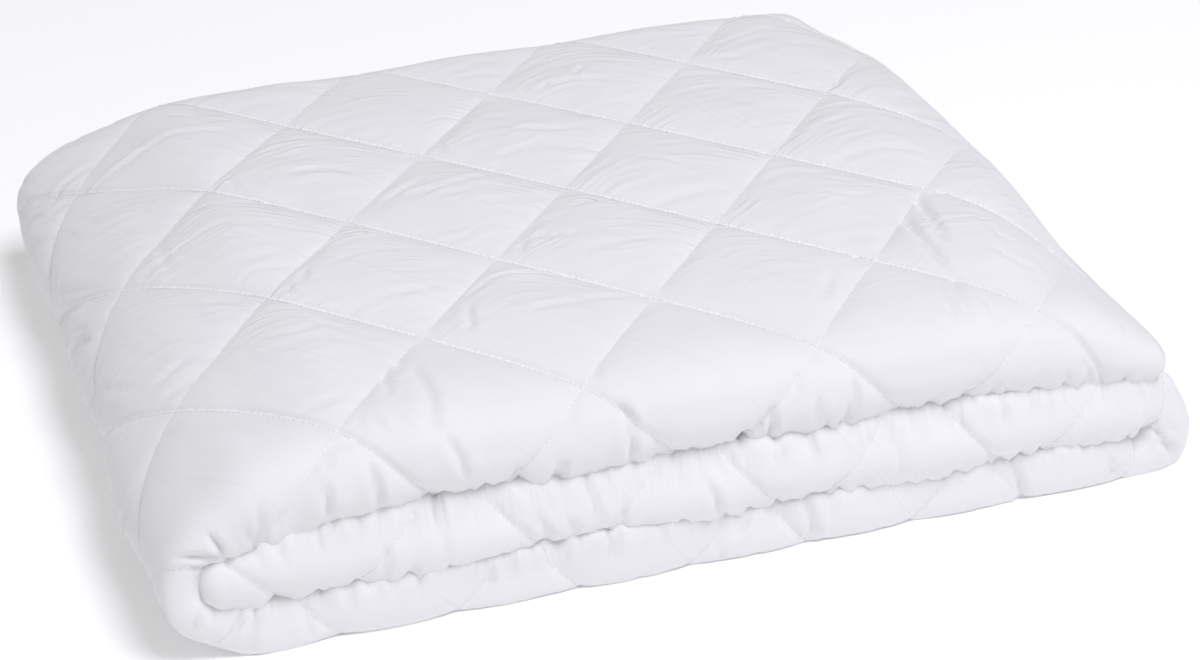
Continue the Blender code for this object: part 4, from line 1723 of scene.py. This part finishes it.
class Nodes:
    """A material's node tree, with short ways to add nodes to it."""

    def __init__(self, name: str) -> None:
        """Start a material with that name.

        Args:
            name: the material's name.
        """
        self.material = bpy.data.materials.new(name)
        self.material.use_nodes = True
        self.tree = self.material.node_tree

    def feed(self, node: bpy.types.Node, inputs: dict) -> None:
        """Give a node its inputs, by name or number: a socket is linked and a value is set.

        Args:
            node: the node.
            inputs: sockets and values, by the name or number of the input.
        """
        for key, value in inputs.items():
            if isinstance(value, bpy.types.NodeSocket):
                self.tree.links.new(value, node.inputs[key])
            else:
                node.inputs[key].default_value = value

    def add(self, kind: str, inputs: dict | None = None, **settings: object) -> bpy.types.Node:
        """Add a node.

        Args:
            kind: the node's type, such as ShaderNodeMath.
            inputs: values or sockets for its inputs, by name or number.
            settings: the node's own settings.

        Returns:
            The node.
        """
        node = self.tree.nodes.new(kind)
        for name, value in settings.items():
            setattr(node, name, value)
        self.feed(node, inputs or {})
        return node

    def finish(self, inputs: dict) -> bpy.types.Material:
        """Give the surface shader its inputs, and return the material."""
        self.feed(self.tree.nodes["Principled BSDF"], inputs)
        return self.material

    def math(self, operation: str, *values: Value) -> Socket:
        """The result of a Math node on values or sockets."""
        node = self.add("ShaderNodeMath", dict(enumerate(values)), operation=operation)
        return node.outputs[0]

    def product(self, first: Value, *others: Value) -> Socket:
        """All the factors multiplied, one after another.

        Args:
            first, others: the factors.

        Returns:
            The product.
        """
        for other in others:
            first = self.math("MULTIPLY", first, other)
        return first

    def total(self, first: Value, *others: Value) -> Socket:
        """All the terms added, one after another.

        Args:
            first, others: the terms.

        Returns:
            The sum.
        """
        for other in others:
            first = self.math("ADD", first, other)
        return first

    def rest(self, share: Value) -> Socket:
        """One less the share."""
        return self.math("SUBTRACT", 1.0, share)

    def eased(self, value: Value, low: float, high: float) -> Socket:
        """0 where the value is at low or below and 1 at high or above, eased between.

        Args:
            value: what is eased.
            low, high: where it starts and ends.

        Returns:
            The share, 0..1.
        """
        inputs = {"Value": value, "From Min": low, "From Max": high}
        node = self.add("ShaderNodeMapRange", inputs, interpolation_type="SMOOTHSTEP")
        return node.outputs["Result"]

    def point(self, x: Value, y: Value, z: Value = 0.0) -> Socket:
        """The point x, y, z."""
        return self.add("ShaderNodeCombineXYZ", {"X": x, "Y": y, "Z": z}).outputs[0]

    def noise(
        self, point: Socket, scale: float = 1.0, detail: float = 1.0, roughness: float = 0.5,
    ) -> Socket:
        """Noise from 0 to 1 at a point."""
        inputs = {"Vector": point, "Scale": scale, "Detail": detail, "Roughness": roughness}
        return self.add("ShaderNodeTexNoise", inputs).outputs[0]

    def troughs(self, point: Socket, width: float, depth: float) -> Socket:
        """Heights with troughs where the noise at a point is within the width of its middle."""
        from_middle = self.math("ABSOLUTE", self.math("SUBTRACT", self.noise(point), 0.5))
        return self.product(self.eased(from_middle, 0.0, width), depth)

    def attribute(self, name: str) -> Socket:
        """The value of the mesh's attribute with that name."""
        return self.add("ShaderNodeAttribute", attribute_name=name).outputs["Fac"]

    def blend(self, share: Socket, one: tuple[float, ...] | Socket, two: tuple[float, ...]) -> Socket:
        """Colour one, or a socket with it, going over into colour two with the share.

        Args:
            share: how much of colour two there is.
            one, two: the colours.

        Returns:
            The colour.
        """
        first = one if isinstance(one, bpy.types.NodeSocket) else (*one, 1.0)
        inputs = {0: share, 6: first, 7: (*two, 1.0)}
        return self.add("ShaderNodeMix", inputs, data_type="RGBA").outputs[2]


@dataclass(frozen=True)
class SeamSockets:
    """Sockets with a point's place beside one family of parallel seams."""

    sign: int           # 1 for the steep seams and -1 for the shallow ones
    line: Socket        # number of seams passed on the way across them
    along: Socket       # place along them, in half diamonds
    distance: Socket    # distance to the nearest one, in metres
    behind: Socket      # 1 on the side towards the pad's back, 0 on the other


class ClothNodes(Nodes):
    """A material's nodes on the pad, with sockets for a point's place on the flat cloth.

    Attributes:
        flat: the place in metres, as a vector, and x and y its parts.
        u, v: the place in half diamonds.
        seams: the place beside the steep seams, then beside the shallow ones.
        shown: how much the surface stands out.
    """

    def __init__(self, name: str, quilting: Quilting) -> None:
        """Start a material with that name on cloth with that quilting.

        Args:
            name: the material's name.
            quilting: the cloth's quilting.
        """
        super().__init__(name)
        self.flat = self.add("ShaderNodeUVMap", uv_map="flat_cloth").outputs[0]
        self.x, self.y, _ = self.add("ShaderNodeSeparateXYZ", {0: self.flat}).outputs
        self.u = self.math("DIVIDE", self.x, quilting.half_x)
        self.v = self.math("DIVIDE", self.y, quilting.half_y)
        self.seams = [self.beside(sign, quilting.spacing) for sign in (1, -1)]
        self.shown = self.attribute("shown")

    def beside(self, sign: int, spacing: float) -> SeamSockets:
        """The place beside the steep seams, with sign 1, or the shallow ones, with -1.

        The distance is the pingpong of the flat coordinate over a half, times twice the seams'
        spacing.

        Args:
            sign: which seams, 1 or -1.
            spacing: distance between seams, in metres.

        Returns:
            The place's sockets.
        """
        line = self.product(self.math("MULTIPLY_ADD", self.u, sign, self.v), 0.5)
        along = self.math("MULTIPLY_ADD", self.u, -sign, self.v)
        distance = self.product(self.math("PINGPONG", line, 0.5), 2 * spacing)
        behind = self.math("GREATER_THAN", self.math("FRACT", line), 0.5)
        return SeamSockets(sign, line, along, distance, behind)


@dataclass(frozen=True)
class CottonPercale:
    """White cotton percale over filling: soft sheen, weave, fine wrinkles, stitched seams, and a
    highlight painted along the seams.
    """

    quilting: Quilting
    colour: Triple = (0.815, 0.810, 0.826)
    shade: Triple = (0.800, 0.796, 0.812)
    mottle_noise: Triple = (14.0, 4.0, 0.55)    # scale, detail, roughness
    mottle_levels: Pair = (0.35, 0.75)
    roughness: float = 0.88
    sheen: float = 0.25
    sheen_roughness: float = 0.5
    gloss: float = 0.25
    thread_pitch: float = 0.42 * MM
    thread_height: float = 0.012 * MM
    seam_lip: float = 0.9 * MM
    seam_lip_width: float = 5.5 * MM
    draw_fineness: Pair = (14.0, 9.0)
    draw_span: Pair = (1.2 * MM, 6.0 * MM)
    draws: tuple[Pair, ...] = (
        # depth of the pleats behind the seam and in front of it
        (0.25 * MM, 0.30 * MM),     # steep seams
        (0.50 * MM, 0.20 * MM),     # shallow seams
    )
    # painted highlight: a lighter colour along the seams, in place of the light that their edges catch
    painted_highlight_colour: Triple = (0.896, 0.892, 0.907)
    highlight_behind: float = 5.0 * MM
    highlight_elsewhere: float = 1.3 * MM
    highlight_least: float = 0.3 * MM
    highlight_fineness: float = 23.0
    highlight_noise: Triple = (1.0, 2.0, 0.6)
    highlight_levels: Pair = (0.30, 0.75)
    highlight_fade: Pair = (0.35, 1.0)
    highlight_shown: Pair = (0.1, 0.5)
    highlight_front_v: Pair = (7.2, 8.2)
    sweep: float = 1.2
    sweep_margins: Pair = (0.20, 0.06)
    sweep_drift: float = 0.55
    drift_scale: float = 1.6
    diamonds_apart: Pair = (5.37, 3.71)
    patch_scale: float = 2.1
    patch_z: float = 7.0
    patch_levels: Pair = (0.34, 0.60)
    wrinkle_width: float = 0.26
    wrinkle_sizes: tuple[Triple, ...] = (
        # fineness across the wrinkles and along them, depth
        (3.6, 1.1, 0.58 * MM),
        (7.6, 2.0, 0.20 * MM),
    )
    wrinkle_front_v: Pair = (6.0, 8.0)
    wrinkle_front_calm: float = 0.88
    pleat_width: float = 0.30
    pleat_fineness_v: float = 2.0
    pleat_sizes: tuple[Pair, ...] = (
        # fineness, depth
        (6.5, 1.10 * MM),
        (13.0, 0.30 * MM),
    )

    def painted_seam_highlight(self, nodes: ClothNodes) -> Socket:
        """Share of the ragged pale band painted along the seams as a highlight, widest behind the top's
        shallow seams, on their lit side.

        Its edge lies at noise times its reach from the seam, and it fades over the outer part.

        Args:
            nodes: the cloth's nodes.

        Returns:
            The share, 0..1.
        """
        shares = []
        on_top = nodes.rest(nodes.eased(nodes.v, *self.highlight_front_v))
        for seams in nodes.seams:
            number = nodes.math("FLOOR", nodes.total(seams.line, 0.5))
            along = nodes.product(seams.along, self.highlight_fineness)
            noise = nodes.noise(nodes.point(along, number, seams.sign), *self.highlight_noise)
            more = self.highlight_behind - self.highlight_elsewhere if seams.sign < 0 else 0.0
            wide = nodes.product(seams.behind, on_top)
            reach = nodes.math("MULTIPLY_ADD", wide, more, self.highlight_elsewhere)
            ragged = nodes.product(nodes.eased(noise, *self.highlight_levels), reach)
            ratio = nodes.math("DIVIDE", seams.distance, nodes.math("MAXIMUM", ragged, self.highlight_least))
            shares.append(nodes.rest(nodes.eased(ratio, *self.highlight_fade)))
        return nodes.math("MAXIMUM", *shares)

    def seam_heights(self, nodes: ClothNodes) -> Socket:
        """Heights of the tiny pleats where the stitches draw the cloth in, in metres.

        The pleats are noise drawn out across the seam, which dies away a few millimetres from
        it. Behind a shallow seam the cloth also rises quickly by the seam's lip.

        Args:
            nodes: the cloth's nodes.

        Returns:
            The heights.
        """
        heights = []
        peak, end = self.draw_span
        along, across = self.draw_fineness
        for seams, (behind, before) in zip(nodes.seams, self.draws):
            point = nodes.point(
                nodes.product(seams.along, along), nodes.product(seams.line, across), seams.sign)
            rise = nodes.eased(seams.distance, 0.0, peak)
            window = nodes.product(rise, nodes.rest(nodes.eased(seams.distance, peak, end)))
            depth = nodes.math("MULTIPLY_ADD", seams.behind, behind - before, before)
            heights.append(nodes.product(nodes.math("SUBTRACT", nodes.noise(point), 0.5), window, depth))
        _, shallow = nodes.seams
        rise = nodes.eased(shallow.distance, 0.0, self.seam_lip_width)
        return nodes.total(*heights, nodes.product(rise, shallow.behind, self.seam_lip))

    def wrinkle_heights(self, nodes: ClothNodes) -> Socket:
        """Heights of fine wrinkles that sweep round each diamond's back corner, in patches.

        With a and b the shares of the way from the seams left of and behind the point, each
        with its margin, noise is read at ln b + sweep ln a across the wrinkles and at the
        difference of the two shares along them. Troughs lie where it is near its middle.

        Args:
            nodes: the cloth's nodes.

        Returns:
            The heights, in metres.
        """
        shares, levels, numbers = [], [], []
        families = zip(nodes.seams, (self.sweep, 1.0), self.sweep_margins, self.diamonds_apart)
        for seams, weight, margin, apart in families:
            share = nodes.math("FRACT", seams.line)
            level = nodes.math("LOGARITHM", nodes.total(share, margin), math.e)
            shares.append(share)
            levels.append(nodes.product(level, weight))
            numbers.append(nodes.product(nodes.math("FLOOR", seams.line), apart))
        drift = nodes.noise(nodes.point(nodes.u, nodes.v), self.drift_scale)
        level = nodes.math("MULTIPLY_ADD", drift, self.sweep_drift, nodes.total(*levels))
        along = nodes.math("SUBTRACT", *shares)
        number = nodes.total(*numbers)
        heights = []
        for fineness, stretch, depth in self.wrinkle_sizes:
            point = nodes.point(nodes.product(along, stretch), nodes.product(level, fineness), number)
            heights.append(nodes.troughs(point, self.wrinkle_width, depth))
        front = nodes.eased(nodes.v, *self.wrinkle_front_v)
        rows = nodes.math("MULTIPLY_ADD", front, -self.wrinkle_front_calm, 1.0)
        patches = nodes.noise(nodes.point(nodes.u, nodes.v, self.patch_z), self.patch_scale)
        patches = nodes.eased(patches, *self.patch_levels)
        return nodes.product(nodes.total(*heights), nodes.product(rows, patches))

    def pleat_heights(self, nodes: ClothNodes) -> Socket:
        """Heights of fine upright pleats on the front folds: troughs of noise.

        Args:
            nodes: the cloth's nodes.

        Returns:
            The heights, in metres.
        """
        heights = []
        for fineness, depth in self.pleat_sizes:
            along = nodes.product(nodes.u, fineness)
            point = nodes.point(along, nodes.product(nodes.v, self.pleat_fineness_v), fineness)
            heights.append(nodes.troughs(point, self.pleat_width, depth))
        return nodes.product(nodes.total(*heights), nodes.attribute("gathers"))

    def weave_height(self, nodes: ClothNodes) -> Socket:
        """Plain weave: the product of two sines, one thread up and the next one down.

        Args:
            nodes: the cloth's nodes.

        Returns:
            The height, in metres.
        """
        turns = 2 * math.pi / self.thread_pitch
        warp = nodes.math("SINE", nodes.product(nodes.x, turns))
        weft = nodes.math("SINE", nodes.product(nodes.y, turns))
        return nodes.product(warp, weft, self.thread_height)

    def material(self) -> bpy.types.Material:
        """The finish as a material that reads the cloth's own UV map, in metres.

        Returns:
            The material.
        """
        nodes = ClothNodes("white_cotton_percale", self.quilting)
        quilted = nodes.total(self.seam_heights(nodes), self.wrinkle_heights(nodes))
        height = nodes.total(
            nodes.product(quilted, nodes.shown), self.pleat_heights(nodes), self.weave_height(nodes))
        bump = nodes.add("ShaderNodeBump", {"Height": height, "Distance": 1.0, "Strength": 1.0})
        mottle = nodes.eased(nodes.noise(nodes.flat, *self.mottle_noise), *self.mottle_levels)
        cloth = nodes.blend(mottle, self.colour, self.shade)
        # the seams' painted highlight: the base colour is lightened along them where the cloth shows
        shown = nodes.eased(nodes.shown, *self.highlight_shown)
        painted_highlight = nodes.product(self.painted_seam_highlight(nodes), shown)
        return nodes.finish({
            "Base Color": nodes.blend(painted_highlight, cloth, self.painted_highlight_colour),
            "Normal": bump.outputs[0],
            "Roughness": self.roughness,
            "Sheen Weight": self.sheen,
            "Sheen Roughness": self.sheen_roughness,
            "Specular IOR Level": self.gloss,
        })


@dataclass(frozen=True)
class SewingThread:
    """White polyester sewing thread with its twist."""

    colour: Triple = (0.915, 0.915, 0.92)
    # painted shade: how dark the bands between the twist's ridges are painted
    shade: float = 0.93
    roughness: float = 0.55
    twist_scale: float = 600.0

    def material(self) -> bpy.types.Material:
        """The finish as a material: the slanted ridges of the twisted thread, painted as bands of shade
        in a darker copy of its colour.

        Returns:
            The material.
        """
        nodes = Nodes("white_thread")
        place = nodes.add("ShaderNodeTexCoord").outputs["Object"]
        inputs = {"Vector": place, "Scale": self.twist_scale}
        wave = nodes.add("ShaderNodeTexWave", inputs, bands_direction="DIAGONAL")
        # the twist's grooves as painted shade
        painted_twist_shade = tuple(self.shade * part for part in self.colour)
        tint = nodes.blend(wave.outputs["Fac"], self.colour, painted_twist_shade)
        return nodes.finish({"Base Color": tint, "Roughness": self.roughness})


@dataclass(frozen=True)
class PaleFloor:
    """Plain, nearly white floor."""

    colour: Triple = (0.96, 0.96, 0.96)
    roughness: float = 0.9
    gloss: float = 0.1
    glow: float = 0.13

    def material(self) -> bpy.types.Material:
        """The finish as a material.

        Returns:
            The material.
        """
        return Nodes("pale_floor").finish({
            "Base Color": (*self.colour, 1.0),
            "Roughness": self.roughness,
            "Specular IOR Level": self.gloss,
            "Emission Color": (1.0, 1.0, 1.0, 1.0),
            "Emission Strength": self.glow,
        })


# ---- Studio ------------------------------------------------------------------
def direction(azimuth: float, elevation: float) -> Vector:
    """Unit vector at degrees round the pad from the front, and degrees up."""
    around, up = math.radians(azimuth), math.radians(elevation)
    return Vector((math.sin(around) * math.cos(up), -math.cos(around) * math.cos(up), math.sin(up)))


def add_facing(name: str, data: bpy.types.ID, place: Vector, back: Vector) -> bpy.types.Object:
    """Add a light or a camera at a place, with its back to a direction.

    Args:
        name: what it is called.
        data: the light's or the camera's own data.
        place: where it stands.
        back: the direction of its back.

    Returns:
        The object.
    """
    added = bpy.data.objects.new(name, data)
    added.location = place
    added.rotation_euler = back.to_track_quat("Z", "Y").to_euler()
    bpy.context.scene.collection.objects.link(added)
    return added


class Side(Enum):
    """Where a light stands: degrees round the pad from the front, and degrees up."""

    KEY = (21.0, 62.0)
    FILL = (-75.0, 30.0)


@dataclass(frozen=True)
class SoftLight:
    """A large square light that faces the pad."""

    name: str
    side: Side
    power: float
    size: float
    distance: float = 4.0
    colour: Triple = (1.0, 1.0, 1.0)

    def build(self, centre: Vector) -> None:
        """Put the light at its angles and distance from the centre.

        Args:
            centre: the point that it faces.
        """
        light = bpy.data.lights.new(self.name, "AREA")
        light.shape = "SQUARE"
        light.size = self.size
        light.energy = self.power
        light.color = self.colour
        back = direction(*self.side.value)
        add_facing(self.name, light, centre + back * self.distance, back)


@dataclass(frozen=True)
class Studio:
    """Floor, lights, surroundings and camera."""

    azimuth: float = -19.78
    elevation: float = 28.96
    distance: float = 1.7767
    aim: Triple = (-0.0402, -0.1920, 0.1350)
    lens: float = 88.67
    sensor: float = 36.0
    floor_size: float = 14.0
    surroundings: float = 0.42
    lights: tuple[SoftLight, ...] = (
        SoftLight("key_light", Side.KEY, 100.0, 1.6, colour=(0.985, 0.975, 1.05)),
        SoftLight("fill_light", Side.FILL, 7.0, 3.0),
    )

    def build_camera(self) -> None:
        """A camera at its angles and distance from the point that it is aimed at."""
        data = bpy.data.cameras.new("camera")
        data.lens = self.lens
        data.sensor_width = self.sensor
        back = direction(self.azimuth, self.elevation)
        camera = add_facing("camera", data, Vector(self.aim) + back * self.distance, back)
        bpy.context.scene.camera = camera

    def build_floor(self) -> None:
        """A level square floor under the pad."""
        half = self.floor_size / 2
        corners = np.array(((-half, -half, 0), (half, -half, 0), (half, half, 0), (-half, half, 0)))
        floor = mesh_object("floor", corners, np.arange(4), np.array((4,)))
        floor.data.materials.append(PaleFloor().material())

    def build_surroundings(self) -> None:
        """Even white light from all sides."""
        world = bpy.data.worlds.new("white_surroundings")
        world.use_nodes = True
        background = world.node_tree.nodes["Background"].inputs
        background["Color"].default_value = (1.0, 1.0, 1.0, 1.0)
        background["Strength"].default_value = self.surroundings
        bpy.context.scene.world = world
        bpy.context.scene.view_settings.view_transform = "Standard"

    def build(self) -> None:
        """Build everything round the pad."""
        self.build_camera()
        self.build_floor()
        self.build_surroundings()
        for light in self.lights:
            light.build(Vector((0.0, 0.0, cad_box[1][2] / 2)))


def report(piece: bpy.types.Object) -> None:
    """Log a piece's name and number of faces."""
    log.info("%s: %d faces", piece.name, len(piece.data.polygons))


def main() -> None:
    logging.basicConfig(level=logging.INFO, format="%(name)s: %(message)s")
    pad = QuiltedPad()
    cloth = pad.build()
    cloth.data.materials.append(CottonPercale(pad.quilting).material())
    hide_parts("quilted_pad")
    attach(cloth, "root")
    report(cloth)
    stitches = Stitching(pad).build()
    stitches.data.materials.append(SewingThread().material())
    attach(stitches, "root")
    report(stitches)
    Studio().build()


if __name__ == "__main__":
    main()
